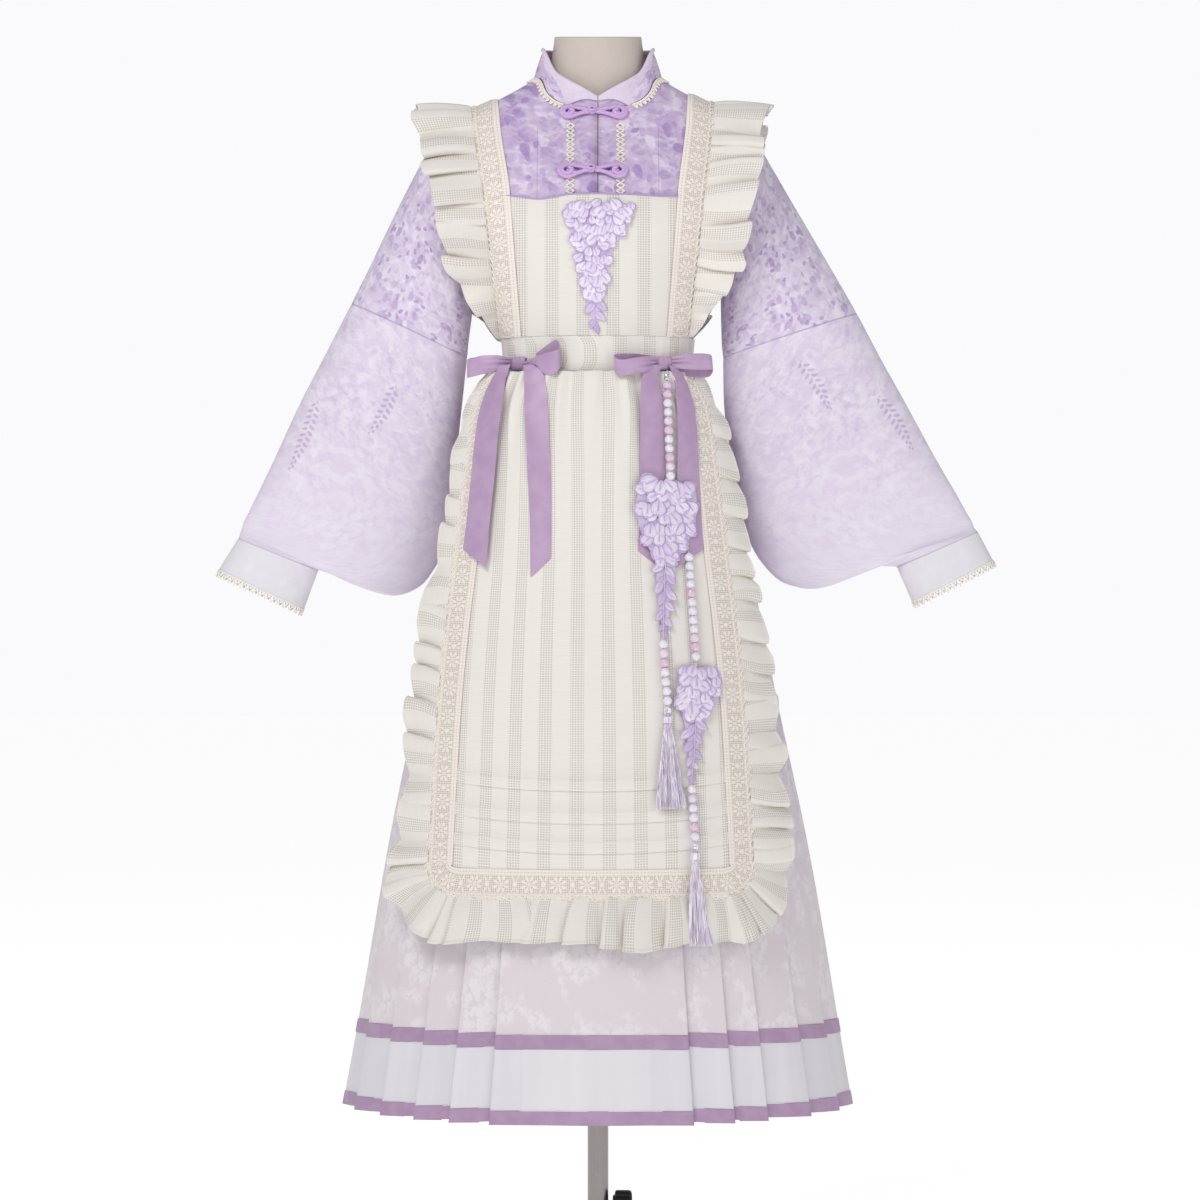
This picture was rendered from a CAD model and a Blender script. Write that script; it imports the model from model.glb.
import math

import bmesh
import bpy
import numpy as np
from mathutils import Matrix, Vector


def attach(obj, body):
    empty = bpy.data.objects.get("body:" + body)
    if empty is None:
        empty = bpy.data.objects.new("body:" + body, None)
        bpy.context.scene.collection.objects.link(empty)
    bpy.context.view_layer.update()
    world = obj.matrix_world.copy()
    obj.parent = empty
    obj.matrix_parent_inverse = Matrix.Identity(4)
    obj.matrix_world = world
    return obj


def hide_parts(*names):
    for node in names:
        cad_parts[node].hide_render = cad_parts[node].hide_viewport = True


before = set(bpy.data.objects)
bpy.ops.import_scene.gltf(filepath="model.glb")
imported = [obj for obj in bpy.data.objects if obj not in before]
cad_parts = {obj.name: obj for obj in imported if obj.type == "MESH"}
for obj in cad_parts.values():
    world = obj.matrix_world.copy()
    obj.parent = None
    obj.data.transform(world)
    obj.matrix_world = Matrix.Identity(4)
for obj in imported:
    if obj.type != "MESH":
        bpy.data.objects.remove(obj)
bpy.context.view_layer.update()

# Apron dress set on a dress form. Tables are in millimetres, Blender's objects in metres.
# The front faces -Y, the wearer's right hand is at -X, the floor is z = 0.

scene = bpy.context.scene
scene.view_settings.view_transform = "Standard"
mm = 0.001
tau = 2 * math.pi
quarter = math.pi / 2

shot = {"distance": 4.9, "height": 0.821, "side": 0.0024, "halfView": 0.72, "sensor": 36}


def makeCamera():
    camera = bpy.data.objects.new("camera", bpy.data.cameras.new("camera"))
    camera.data.sensor_width = shot["sensor"]
    camera.data.lens = shot["sensor"] / 2 * shot["distance"] / shot["halfView"]
    camera.location = (shot["side"], -shot["distance"], shot["height"])
    camera.rotation_euler = (quarter, 0, 0)
    scene.collection.objects.link(camera)
    scene.camera = camera


makeCamera()
print("camera set")


# Numbers, tables and curves

def lerp(a, b, t):
    return a + (b - a) * t


def smoothStep(value, low, high):
    t = np.clip((np.asarray(value, float) - low) / (high - low), 0, 1)
    return t * t * (3 - 2 * t)


def signedPower(value, power):
    return np.sign(value) * np.abs(value) ** power


def unit(vectors):
    return vectors / np.maximum(np.linalg.norm(vectors, axis=-1, keepdims=True), 1e-9)


# How far along a line of points each of them is
def lengths(path):
    return np.concatenate([[0], np.cumsum(np.linalg.norm(np.diff(path, axis=0), axis=1))])


# Rows of values, known at some places along a line, read at others
def readAt(where, along, values):
    return np.stack([np.interp(where, along, column) for column in np.asarray(values).T], -1)


# A table read by its first column, smooth between its rows and without overshoot
def smoothTable(rows):
    rows = np.array(rows, float)
    rows = rows[np.argsort(rows[:, 0])]
    keys, values = rows[:, 0], rows[:, 1:]
    gaps = np.diff(keys)[:, None]
    slopes = np.diff(values, axis=0) / gaps
    tangents = np.zeros_like(values)
    tangents[0], tangents[-1] = slopes[0], slopes[-1]
    for i in range(1, len(keys) - 1):
        before, after = slopes[i - 1], slopes[i]
        same = before * after > 0
        first, second = 2 * gaps[i] + gaps[i - 1], gaps[i] + 2 * gaps[i - 1]
        blended = (first + second) / (first / np.where(same, before, 1) + second / np.where(same, after, 1))
        tangents[i] = np.where(same, blended, 0)

    def at(key):
        key = np.clip(np.asarray(key, float), keys[0], keys[-1])
        i = np.clip(np.searchsorted(keys, key, side="right") - 1, 0, len(keys) - 2)
        span = (keys[i + 1] - keys[i])[..., None]
        t = (key - keys[i])[..., None] / span
        start = values[i] * (1 + 2 * t) * (1 - t) ** 2 + tangents[i] * span * t * (1 - t) ** 2
        end = values[i + 1] * t * t * (3 - 2 * t) + tangents[i + 1] * span * t * t * (t - 1)
        return np.moveaxis(start + end, -1, 0)
    return at


# A smooth line through points, as evenly spaced places along it
def smoothPath(points, count):
    points = np.array(points, float)
    along = lengths(points)
    curve = smoothTable(np.column_stack([along, points]))
    fine = np.stack(curve(np.linspace(0, along[-1], max(8 * len(points), 4 * count))), -1)
    length = lengths(fine)
    return readAt(np.linspace(0, length[-1], count), length, fine)


# An oval that changes with height. Angle 0 is +X, -90 degrees the front and +90 the back.
class OvalSurface:
    def __init__(self, rows, centre=0.0):
        self.table, self.centre = smoothTable(rows), centre

    def at(self, angle, z, lift=0.0):
        angle, z, lift = np.broadcast_arrays(angle, z, lift)
        half, front, back, power = self.table(z)
        x = self.centre + half * signedPower(np.cos(angle), 2 / power)
        y = np.where(np.sin(angle) < 0, front, back) * signedPower(np.sin(angle), 2 / power)
        place = np.stack([x, y, z], -1)
        return place + self.normal(place) * lift[..., None]

    def level(self, x, y, z):
        half, front, back, power = self.table(z)
        return (np.abs(x - self.centre) / half) ** power + (np.abs(y) / np.where(y < 0, front, back)) ** power

    def normal(self, place):
        x, y, z = np.moveaxis(place, -1, 0)
        return unit(np.stack([
            self.level(x + 1, y, z) - self.level(x - 1, y, z),
            self.level(x, y + 1, z) - self.level(x, y - 1, z),
            (self.level(x, y, z + 6) - self.level(x, y, z - 6)) / 6,
        ], -1))

    def angleAt(self, x, z, side=-1):
        half, _, _, power = self.table(z)
        return side * np.arccos(signedPower(np.clip((x - self.centre) / half, -1, 1), power / 2))

    # A place on the front, given by its distance from the centre
    def under(self, x, z, lift=0.0):
        return self.at(self.angleAt(np.asarray(x, float), np.asarray(z, float)), z, lift)


# Level, half width, depth to the front, depth to the back, squareness
dress = OvalSurface([
    (222, 307, 250, 270, 2), (324, 289, 240, 255, 2), (532, 252, 212, 222, 2), (700, 217, 180, 185, 2),
    (856, 185, 145, 150, 2), (979, 156, 118, 118, 2.1), (1112, 112, 84, 78, 2.3), (1170, 122, 99, 85, 2.3),
    (1230, 140, 116, 92, 2.3), (1265, 162, 120, 97, 2.3), (1310, 180, 110, 100, 2.3), (1350, 190, 92, 96, 2.3),
    (1380, 194, 74, 84, 2.3), (1392, 182, 68, 78, 2.3), (1405, 153, 63, 71, 2.3), (1421, 118, 59, 64, 2.3),
    (1444, 78, 55, 58, 2.3), (1454, 66, 53, 56, 2.3)])
apronCentre = -8
apron = OvalSurface([
    (420, 290, 232, 232, 2), (532, 270, 215.5, 215.5, 2), (700, 238, 183.5, 183.5, 2), (856, 205, 148.5, 148.5, 2),
    (979, 174, 122, 122, 2.1), (1040, 155, 107.5, 107.5, 2.2), (1091, 132, 93, 93, 2.3)], apronCentre)
# How far the apron's gathers stand out below the waist, for what hangs in front of them
gathersAt = smoothTable([(400, 0), (900, 0), (950, 1), (1010, 3.6), (1060, 4.4), (1091, 2)])


# The height of the seam between bodice and collar, lower at the front
def neckSeam(angle):
    drop = np.where(np.sin(angle) < 0, -40, 8)
    return 1444 + drop * np.abs(np.sin(angle)) ** 5


# Meshes from grids of points

def gridNormals(grid, closed=False):
    if closed:
        ring = grid[:, :-1]
        across = np.roll(ring, -1, 1) - np.roll(ring, 1, 1)
        across = np.concatenate([across, across[:, :1]], 1)
    else:
        across = np.gradient(grid, axis=1)
    return unit(np.cross(across, np.gradient(grid, axis=0)))


# UVs in metres from distances in millimetres
def uvOf(u, v):
    return np.stack(np.broadcast_arrays(u, v), -1) * mm


# Distances along the cloth, measured from one column and from the first row
def clothUv(grid, origin=0):
    u = np.concatenate([np.zeros((len(grid), 1)), np.cumsum(np.linalg.norm(np.diff(grid, axis=1), axis=2), 1)], 1)
    v = np.concatenate([np.zeros((1, grid.shape[1])), np.cumsum(np.linalg.norm(np.diff(grid, axis=0), axis=2), 0)], 0)
    return uvOf(u - u[:, origin:origin + 1], v)


def sheetArea(grid):
    across, down = np.diff(grid, axis=1)[:-1], np.diff(grid, axis=0)[:, :-1]
    return float(np.linalg.norm(np.cross(across, down), axis=2).sum()) * 1e-6


# Faces of a grid and their UVs. The last column, or row, of the UVs may be the first one of the points again.
def gridFaces(uv, around=False, ahead=False):
    rows, columns = uv.shape[:2]
    r, c = (i.ravel() for i in np.meshgrid(np.arange(rows - 1), np.arange(columns - 1), indexing="ij"))
    corners = [(r, c), (r, c + 1), (r + 1, c + 1), (r + 1, c)]
    faces = np.stack([i % (rows - ahead) * (columns - around) + j % (columns - around) for i, j in corners], 1)
    return faces, np.stack([uv[i, j] for i, j in corners], 1)


def newPiece(name, points, faces, uvs, material, sharp=52):
    mesh = bpy.data.meshes.new(name)
    mesh.from_pydata((np.asarray(points, float) * mm).tolist(), [], faces)
    mesh.uv_layers.new(name="cloth").data.foreach_set("uv", np.asarray(uvs, float).ravel())
    mesh.polygons.foreach_set("use_smooth", [True] * len(mesh.polygons))
    mesh.set_sharp_from_angle(angle=math.radians(sharp))
    mesh.validate()
    piece = bpy.data.objects.new(name, mesh)
    scene.collection.objects.link(piece)
    mesh.materials.append(material)
    return piece


# A piece that is one closed skin from a grid of rings. Caps are rings that end in a flat face, and points that
# lie less than apart from each other become one.
def skinPiece(name, grid, uv, material, caps=(), apart=0.0, outward=False):
    count = grid.shape[1] - 1
    faces, uvs = gridFaces(uv, True)
    faces, uvs = faces.tolist(), uvs.reshape(-1, 2)
    for ring in caps:
        ids = [ring * count + c for c in range(count)]
        faces.append(ids if ring else ids[::-1])
        uvs = np.concatenate([uvs, np.zeros((count, 2))])
    piece = newPiece(name, grid[:, :-1].reshape(-1, 3), faces, uvs, material)
    if apart:
        mesh = bmesh.new()
        mesh.from_mesh(piece.data)
        bmesh.ops.remove_doubles(mesh, verts=mesh.verts, dist=apart)
        if outward:
            bmesh.ops.recalc_face_normals(mesh, faces=mesh.faces)
        mesh.to_mesh(piece.data)
        mesh.free()
    return piece


def settle(piece, replaced=(), body="dressed_form"):
    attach(piece, body)
    if replaced:
        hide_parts(*([replaced] if isinstance(replaced, str) else replaced))
    return piece


# Points, faces and UVs of a wall: the grid, and behind it the same grid moved by the thickness.
# A closed grid repeats its first column at its end.
def wallParts(grid, thickness, closed=False, uv=None):
    grid = np.asarray(grid, float)
    rows, columns = grid.shape[:2]
    uv = clothUv(grid) if uv is None else uv
    depth = np.asarray(thickness, float)
    inner = grid - gridNormals(grid, closed) * (depth[..., None] if depth.ndim else depth)
    count = columns - closed
    points = np.concatenate([grid[:, :count].reshape(-1, 3), inner[:, :count].reshape(-1, 3)])
    back = rows * count
    ids, places = gridFaces(uv, closed)
    faces, uvs = [ids, ids[:, ::-1] + back], [places, places[:, ::-1]]

    def rim(first, second):
        low, high = (r * count + c % count for r, c in (first, second))
        faces.append(np.stack([high, low, low + back, high + back], 1))
        uvs.append(np.stack([uv[second], uv[first], uv[first], uv[second]], 1))
    c, r = np.arange(columns - 1), np.arange(rows - 1)
    rim((0 * c, c), (0 * c, c + 1))
    rim((0 * c + rows - 1, c + 1), (0 * c + rows - 1, c))
    if not closed:
        rim((r + 1, 0 * r), (r, 0 * r))
        rim((r, 0 * r + columns - 1), (r + 1, 0 * r + columns - 1))
    return points, np.concatenate(faces).tolist(), np.concatenate(uvs).reshape(-1, 2)


# Joins several sets of points, faces and UVs into one
def joinParts(parts):
    points, faces, uvs, start = [], [], [], 0
    for place, face, uv in parts:
        points.append(place)
        faces += [[i + start for i in f] for f in face]
        uvs.append(uv)
        start += len(place)
    return np.concatenate(points), faces, np.concatenate(uvs)


def clothPiece(name, grid, thickness, material, replaced=(), closed=False, uv=None):
    return settle(newPiece(name, *wallParts(grid, thickness, closed, uv), material), replaced)


# A round tube along points. Its UV runs along and round it.
def tubeParts(path, radius, sides=6, closed=False):
    path = np.asarray(path, float)
    count = len(path)
    along = unit(np.roll(path, -1, 0) - np.roll(path, 1, 0) if closed else np.gradient(path, axis=0))
    first = [unit(np.cross(along[0], (0.31, 0.22, 0.92)))]
    for direction in along[1:]:
        first.append(unit(first[-1] - direction * np.dot(first[-1], direction)))
    first = np.array(first)[:, None]
    second = np.cross(along[:, None], first)
    turn = (np.arange(sides) * tau / sides)[:, None]
    points = (path[:, None] + (np.cos(turn) * first + np.sin(turn) * second) * radius).reshape(-1, 3)
    length = lengths(np.concatenate([path, path[:1]]) if closed else path)
    faces, uvs = gridFaces(uvOf(length[:, None], np.arange(sides + 1) * tau * radius / sides), True, closed)
    faces, uvs = faces.tolist(), uvs.reshape(-1, 2)
    if not closed:
        tips = along[[0, -1]] * [[-0.4 * radius], [0.4 * radius]]
        points = np.concatenate([points, path[[0, -1]] + tips])
        pairs, last, end = [(j, (j + 1) % sides) for j in range(sides)], (count - 1) * sides, count * sides
        faces += [[end, k, j] for j, k in pairs] + [[end + 1, last + j, last + k] for j, k in pairs]
        uvs = np.concatenate([uvs, np.zeros((6 * sides, 2))])
    return points, faces, uvs


def tubePiece(name, tubes, material, replaced=()):
    return settle(newPiece(name, *joinParts(tubes), material), replaced)


# A turned body from radii and heights
def turnedPiece(name, profile, material, replaced, body="stand", segments=96):
    profile = np.array(profile, float)
    angles = np.linspace(0, tau, segments + 1)
    radius, height = profile[:, :1], profile[:, 1:]
    grid = np.stack(np.broadcast_arrays(radius * np.cos(angles), radius * np.sin(angles), height), -1)
    uv = uvOf(np.arange(segments + 1) * tau * 50 / segments, lengths(profile)[:, None])
    piece = skinPiece(name, grid, uv, material, apart=1e-6, outward=True)
    piece.data.set_sharp_from_angle(angle=math.radians(35))
    return settle(piece, replaced, body)


# Materials. A field is a socket that takes part in sums, so that a pattern reads as arithmetic.

# A display colour as a linear one
def colour(shade):
    return (*(v / 12.92 if v <= 0.04045 else ((v + 0.055) / 1.055) ** 2.4 for v in shade), 1.0)


def plug(tree, socket, value):
    if isinstance(value, Field):
        tree.links.new(value.socket, socket)
    elif value is not None:
        socket.default_value = colour(value) if isinstance(value, tuple) else value


class Field:
    def __init__(self, tree, socket):
        self.tree, self.socket = tree, socket

    def op(self, operation, *others, clamp=False):
        node = self.tree.nodes.new("ShaderNodeMath")
        node.operation, node.use_clamp = operation, clamp
        for slot, value in zip(node.inputs, (self,) + others):
            plug(self.tree, slot, value)
        return Field(self.tree, node.outputs[0])

    def __rsub__(self, other):
        return (self * -1.0) + other

    def clamp(self):
        return self.op("ADD", 0.0, clamp=True)

    # From 0 at low to 1 at high, softly; low may be the larger one
    def step(self, low, high):
        node = self.tree.nodes.new("ShaderNodeMapRange")
        node.interpolation_type = "SMOOTHSTEP"
        falling = not isinstance(low, Field) and not isinstance(high, Field) and low > high
        values = (self, high, low, 1.0, 0.0) if falling else (self, low, high, 0.0, 1.0)
        for slot, value in zip(node.inputs, values):
            plug(self.tree, slot, value)
        return Field(self.tree, node.outputs[0])


def mathMethod(operation):
    return lambda field, *others: field.op(operation, *others)


for method, operation in {
        "__add__": "ADD", "__radd__": "ADD", "__sub__": "SUBTRACT", "__mul__": "MULTIPLY", "__rmul__": "MULTIPLY",
        "__truediv__": "DIVIDE", "__pow__": "POWER", "abs": "ABSOLUTE", "sin": "SINE", "cos": "COSINE",
        "fract": "FRACT", "floor": "FLOOR", "most": "MAXIMUM", "turn": "ARCTAN2"}.items():
    setattr(Field, method, mathMethod(operation))


# Builds one node tree, a group or a material, from named inputs
class Maker:
    def __init__(self, tree):
        self.tree = tree

    def node(self, kind, outputs=None, inputs=None, **settings):
        node = self.tree.nodes.new("ShaderNode" + kind)
        for key, value in settings.items():
            setattr(node, key, value)
        for key, value in (inputs or {}).items():
            plug(self.tree, node.inputs[key], value)
        sockets = node.outputs if outputs is None else [node.outputs[key] for key in outputs]
        fields = [Field(self.tree, socket) for socket in sockets]
        return fields[0] if len(fields) == 1 else fields

    def split(self, vector):
        return self.node("SeparateXYZ", None, {0: vector})

    def join(self, x, y, z=0.0):
        return self.node("CombineXYZ", None, {0: x, 1: y, 2: z})

    def noise(self, vector, scale, detail=2.0, roughness=0.5, distortion=0.0):
        return self.node("TexNoise", (0,), {"Vector": vector, "Scale": scale, "Detail": detail,
                                            "Roughness": roughness, "Distortion": distortion})

    # Each cell's middle, and three random values of its own
    def cells(self, vector, scale, randomness):
        place, tint = self.node("TexVoronoi", ("Position", "Color"), {
            "Vector": vector, "Scale": scale, "Randomness": randomness}, voronoi_dimensions="2D")
        return self.split(place)[:2], self.split(tint)

    def white(self, *parts):
        return self.node("TexWhiteNoise", (0,), {"Vector": self.join(*parts)})

    def mix(self, factor, first, second):
        return self.node("Mix", (2,), {0: factor, 6: first, 7: second}, data_type="RGBA")

    def bump(self, height, distance):
        return self.node("Bump", None, {"Height": height, "Distance": distance})

    def group(self, tree, place, **values):
        return self.node("Group", None, {"place": place, **values}, node_tree=tree)


# A node group. The pattern takes a place and the named inputs, and gives one field for each output's name.
def newGroup(name, pattern, outputs, **inputs):
    tree = bpy.data.node_groups.new(name, "ShaderNodeTree")
    inputs = {"place": None, **inputs}
    for key, default in inputs.items():
        kind = "Vector" if default is None else "Color" if isinstance(default, tuple) else "Float"
        plug(tree, tree.interface.new_socket(name=key, in_out="INPUT", socket_type="NodeSocket" + kind), default)
    for key in outputs.split():
        kind = "Color" if key == "tint" else "Float"
        tree.interface.new_socket(name=key, in_out="OUTPUT", socket_type="NodeSocket" + kind)
    source, sink = tree.nodes.new("NodeGroupInput"), tree.nodes.new("NodeGroupOutput")
    results = pattern(Maker(tree), **{key: Field(tree, source.outputs[key]) for key in inputs})
    for key, result in zip(outputs.split(), results if isinstance(results, tuple) else (results,)):
        plug(tree, sink.inputs[key], result)
    return tree


# Over and under threads of a plain weave
def weavePattern(make, place, pitch, slub):
    u, v, _ = make.split(place)
    warp, weft = (u / pitch * math.pi).sin(), (v / pitch * math.pi).sin()
    uneven = (make.noise(make.join(u * 160.0, v * 700.0), 1.0) - 0.5) * slub
    return (warp * weft).abs() * 0.5 + (warp.abs() + weft.abs()) * 0.25 + uneven, uneven + 0.5


# Petals strewn one to a cell, each turned its own way. Tone differs from petal to petal.
def petalPattern(make, place, scale, share, length, wide, lean, spread):
    u, v, _ = make.split(place)
    (left, low), (red, green, blue) = make.cells(place, scale, 0.85)
    turn = lean + (red - 0.5) * spread
    cosine, sine = turn.cos(), turn.sin()
    x, y = (u - left) * scale, (v - low) * scale
    along, across = x * cosine + y * sine, y * cosine - x * sine
    taper = wide * (1.0 - along / length * 0.35)
    reach = (along / length) ** 2.0 + (across / taper) ** 2.0
    ragged = reach + (make.noise(place, scale * 2.2) - 0.5) * 0.6
    return ragged.step(1.1, 0.6) * blue.step(1.0 - share, 1.04 - share), green


# Hanging sprays: columns of paired small petals that grow fewer and smaller towards the tip
def sprayPattern(make, place, column, share, length):
    u, v, _ = make.split(place)
    swayed = (u + (make.noise(make.join(u * 0.0, v), 11.0, 1.0) - 0.5) * 0.016) / column
    index = swayed.floor()
    part = v / length + make.white(index, 3.0, 1.0) * 2.0
    block, inside = part.floor(), part.fract()
    pick, shift = make.white(index, block, 7.0), make.white(index, block, 2.0)
    x = swayed.fract() - 0.5 + (shift - 0.5) * 0.3
    taper = inside.step(0.0, 0.6) * inside.step(1.0, 0.9)
    sideways = x.abs() - (taper * 0.13 + 0.03)
    row = (v / (column * 0.24)) - x.step(-0.02, 0.02) * 0.4
    tone = make.white(index, row.floor(), 5.0)
    reach = ((row.fract() - 0.5 - sideways * 2.2) / 0.27) ** 2.0 + (sideways / (taper * 0.12 + 0.02)) ** 2.0
    petal = (reach + (tone - 0.5) * 0.8).step(1.2, 0.6)
    return petal * pick.step(1.0 - share, 1.02 - share) * taper.step(0.02, 0.25), tone


# One spray of paired petals from a first place to a second
def slantPattern(make, place, fromX, fromZ, toX, toZ):
    u, v, _ = make.split(place)
    runX, runZ = toX - fromX, toZ - fromZ
    length = (runX * runX + runZ * runZ) ** 0.5
    x, z = u - fromX, v - fromZ
    along = (x * runX + z * runZ) / length
    inside = along / length
    across = (z * runX - x * runZ) / length - (inside * math.pi).sin() * 0.003
    row = along / 0.0075 - across.step(-0.0005, 0.0005) * 0.45
    local = row.fract() - 0.5 - across.abs() * 60.0
    taper = inside.step(1.0, 0.5) * inside.step(0.0, 0.15) * 0.7 + 0.3
    reach = (local / 0.30) ** 2.0 + ((across.abs() - taper * 0.0042) / (taper * 0.0040)) ** 2.0
    ragged = reach + (make.noise(place, 260.0) - 0.5) * 0.7
    return ragged.step(1.15, 0.6) * inside.step(-0.01, 0.02) * inside.step(1.01, 0.98)


# Soft five-petalled blossoms, one to a cell
def blossomPattern(make, place, scale):
    u, v, _ = make.split(place)
    (left, low), (size, turn, _) = make.cells(place, scale, 0.9)
    x, y = (u - left) * scale, (v - low) * scale
    angle = y.turn(x) * 5.0 + turn * 6.0
    return ((x * x + y * y) ** 0.5 - angle.sin() * 0.07 - size * 0.2).step(0.38, 0.24)


weaveGrain = newGroup("weaveGrain", weavePattern, "height shade", pitch=0.0005, slub=0.6)
petalScatter = newGroup("petalScatter", petalPattern, "mask tone", scale=60.0, share=0.6, length=0.42, wide=0.2,
                        lean=0.0, spread=6.0)
hangingSpray = newGroup("hangingSpray", sprayPattern, "mask tone", column=0.03, share=0.4, length=0.09)
slantingSpray = newGroup("slantingSpray", slantPattern, "mask", fromX=0.0, fromZ=0.0, toX=0.1, toZ=0.1)
softBlossom = newGroup("softBlossom", blossomPattern, "mask", scale=70.0)


# The dress's print: watery brush strokes, loose petals in two sizes, hanging sprays, a paler ground
def printPattern(make, place, ground, wash, deep, depth, petals, sprays, clouds, stroke, size):
    u, v, _ = make.split(place)
    strokes = make.noise(make.join(u * 22.0 * stroke, v * 62.0), 1.0, 3.0, 0.55, 0.9)
    dabs = make.noise(make.join(u * 70.0, v * 120.0, 5.0), 1.0, 2.0, 0.5, 0.5)
    cloud = make.noise(make.join(u * 15.0, v * 15.0, 4.0), 1.0, 3.0, 0.6)
    washed = (strokes.step(0.38, 0.62) * 0.5 + dabs.step(0.4, 0.66) * 0.25 + cloud.step(0.38, 0.62) * 0.3) * depth
    shade = make.mix(washed, ground, wash)
    shade = make.mix(strokes.step(0.50, 0.36) * dabs.step(0.60, 0.45) * depth * 0.28, shade, (0.92, 0.89, 0.94))
    blossom = make.group(softBlossom, place)
    second = make.group(softBlossom, make.join(u + 0.31, v + 0.17), scale=110.0)
    shade = make.mix(blossom.most(second * 0.8) * cloud.step(0.46, 0.56) * clouds, shade, (0.93, 0.915, 0.935))
    big, bigTone = make.group(petalScatter, place, scale=size * 44.0, share=0.75, length=0.40, wide=0.25, lean=-1.3,
                              spread=2.6)
    small, smallTone = make.group(petalScatter, make.join(u + 0.37, v + 0.21), scale=size * 78.0, length=0.42,
                                  wide=0.24, lean=-1.2, spread=3.4)
    amount = petals * depth.step(0.12, 0.8)
    grouped = (cloud.step(0.40, 0.54) * 0.8 + 0.2) * amount
    shade = make.mix(big * (bigTone * 0.5 + 0.25) * grouped, shade, deep)
    shade = make.mix(small * (smallTone * 0.6 + 0.25) * grouped, shade, deep)
    shade = make.mix(big * bigTone.step(0.3, 0.2) * amount * 0.4, shade, (0.92, 0.885, 0.94))
    spray, tone = make.group(hangingSpray, place, column=0.034, share=0.5, length=0.11)
    return make.mix(spray * (tone * 0.5 + 0.4) * sprays, shade, deep), strokes * 0.5 + dabs * 0.5


# Stripes of square mesh holes in a plain cloth. Holes is 1 where the cloth is open.
def stripePattern(make, place, period, width, start, across, down):
    u, v, _ = make.split(place)
    stripe = ((((u - start) / period).fract() - 0.5).abs() - width / period * 0.5).step(0.012, -0.012)
    bars = ((u / across).fract() - 0.5).abs().most(((v / down).fract() - 0.5).abs())
    wobble = (make.noise(place, 700.0, 1.0) - 0.5) * 0.12
    slub = make.noise(make.join(u * 40.0, v * 700.0), 1.0, 3.0)
    height = stripe * bars * 1.4 + (1.0 - stripe) * (0.55 + (slub - 0.5) * 1.1)
    return (bars + wobble).step(0.36, 0.26) * stripe, stripe, height, slub


# A crocheted band: eight-petalled stars and rings between straight ribbed rows.
# Its first coordinate runs down the band and its second from the inner edge, both in metres.
def starPattern(make, place, pitch, band):
    along, across, _ = make.split(place)
    x = ((along / pitch).fract() - 0.5) * pitch
    y = across - band * 0.5
    radius = (x * x + y * y) ** 0.5 / (band * 0.29)
    ray = ((y.turn(x) * (8 / tau)).fract() - 0.5).abs() * 2.0
    petal = (((radius - 0.64) / 0.38) ** 2.0 + (ray / 0.62) ** 2.0).step(1.1, 0.75)
    core = radius.step(0.24, 0.16) * radius.step(0.04, 0.10)
    between = ((((along / pitch) + 0.5).fract() - 0.5) * pitch).abs()
    diamond = (between / (band * 0.11) + y.abs() / (band * 0.12)).step(1.05, 0.8)
    slant = between - y.abs() * 0.4
    leaf = (slant / (band * 0.035)) ** 2.0 + ((y.abs() - band * 0.19) / (band * 0.10)) ** 2.0
    star = (petal + core + diamond + leaf.step(1.1, 0.7)).clamp()
    middle = (y.abs() - band * 0.29).step(0.0006, -0.0006)
    knots = (((along / 0.0024).fract() - 0.5) ** 2.0 + ((across / 0.0024).fract() - 0.5) ** 2.0) ** 0.5
    ribRows = (across / 0.0034 * math.pi).sin().abs()
    chain = ((along / 0.0040).fract() - 0.5).abs()
    edge = 1.0 - middle
    pin = chain.step(0.20, 0.10) * ribRows.step(0.45, 0.15) * edge
    holes = (pin * 0.9 + knots.step(0.38, 0.2) * middle * (1.0 - star)).clamp()
    threads = make.noise(place, 900.0)
    return holes, star * 0.8 + middle * 0.25 + edge * (0.4 + ribRows * 0.6) + threads * 0.3 - holes * 0.8, star


# Fine ribs across a ribbon
def ribPattern(make, place, pitch, weight):
    u, v, _ = make.split(place)
    rib = (u / pitch * tau).sin() * 0.5 + 0.5
    return rib * weight + (1.0 - weight) * make.noise(make.join(u * 900.0, v * 60.0), 1.0)


# Twisted strands: slanting ridges along a cord
def twistPattern(make, place, pitch, slant):
    u, v, _ = make.split(place)
    ridge = ((u + v * slant) / pitch * math.pi).sin().abs()
    return ridge * 0.8 + make.noise(make.join(u * 1500.0, v * 300.0), 1.0) * 0.2, ridge


printLook = {"ground": (0.855, 0.80, 0.875), "wash": (0.71, 0.62, 0.775), "deep": (0.60, 0.48, 0.71)}
blossomPrint = newGroup("blossomPrint", printPattern, "tint mottle", **printLook, depth=1.0, petals=1.0, sprays=1.0,
                        clouds=0.2, stroke=1.0, size=1.0)
openStripes = newGroup("openStripes", stripePattern, "holes stripe height slub", period=0.036, width=0.016,
                       start=0.0, across=0.0032, down=0.0028)
crochetStars = newGroup("crochetStars", starPattern, "holes height star", pitch=0.0335, band=0.034)
ribGrain = newGroup("ribGrain", ribPattern, "height", pitch=0.0009, weight=0.7)
twistGrain = newGroup("twistGrain", twistPattern, "height ridge", pitch=0.0016, slant=1.2)


# The build gives a dictionary of the shader's inputs
def newMaterial(name, build):
    material = bpy.data.materials.new(name)
    material.use_nodes = True
    tree = material.node_tree
    make = Maker(tree)
    uv, place = make.node("UVMap", None, uv_map="cloth"), make.node("TexCoord", ("Object",))
    for key, value in build(make, uv, place).items():
        plug(tree, tree.nodes["Principled BSDF"].inputs[key], value)
    return material


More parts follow.
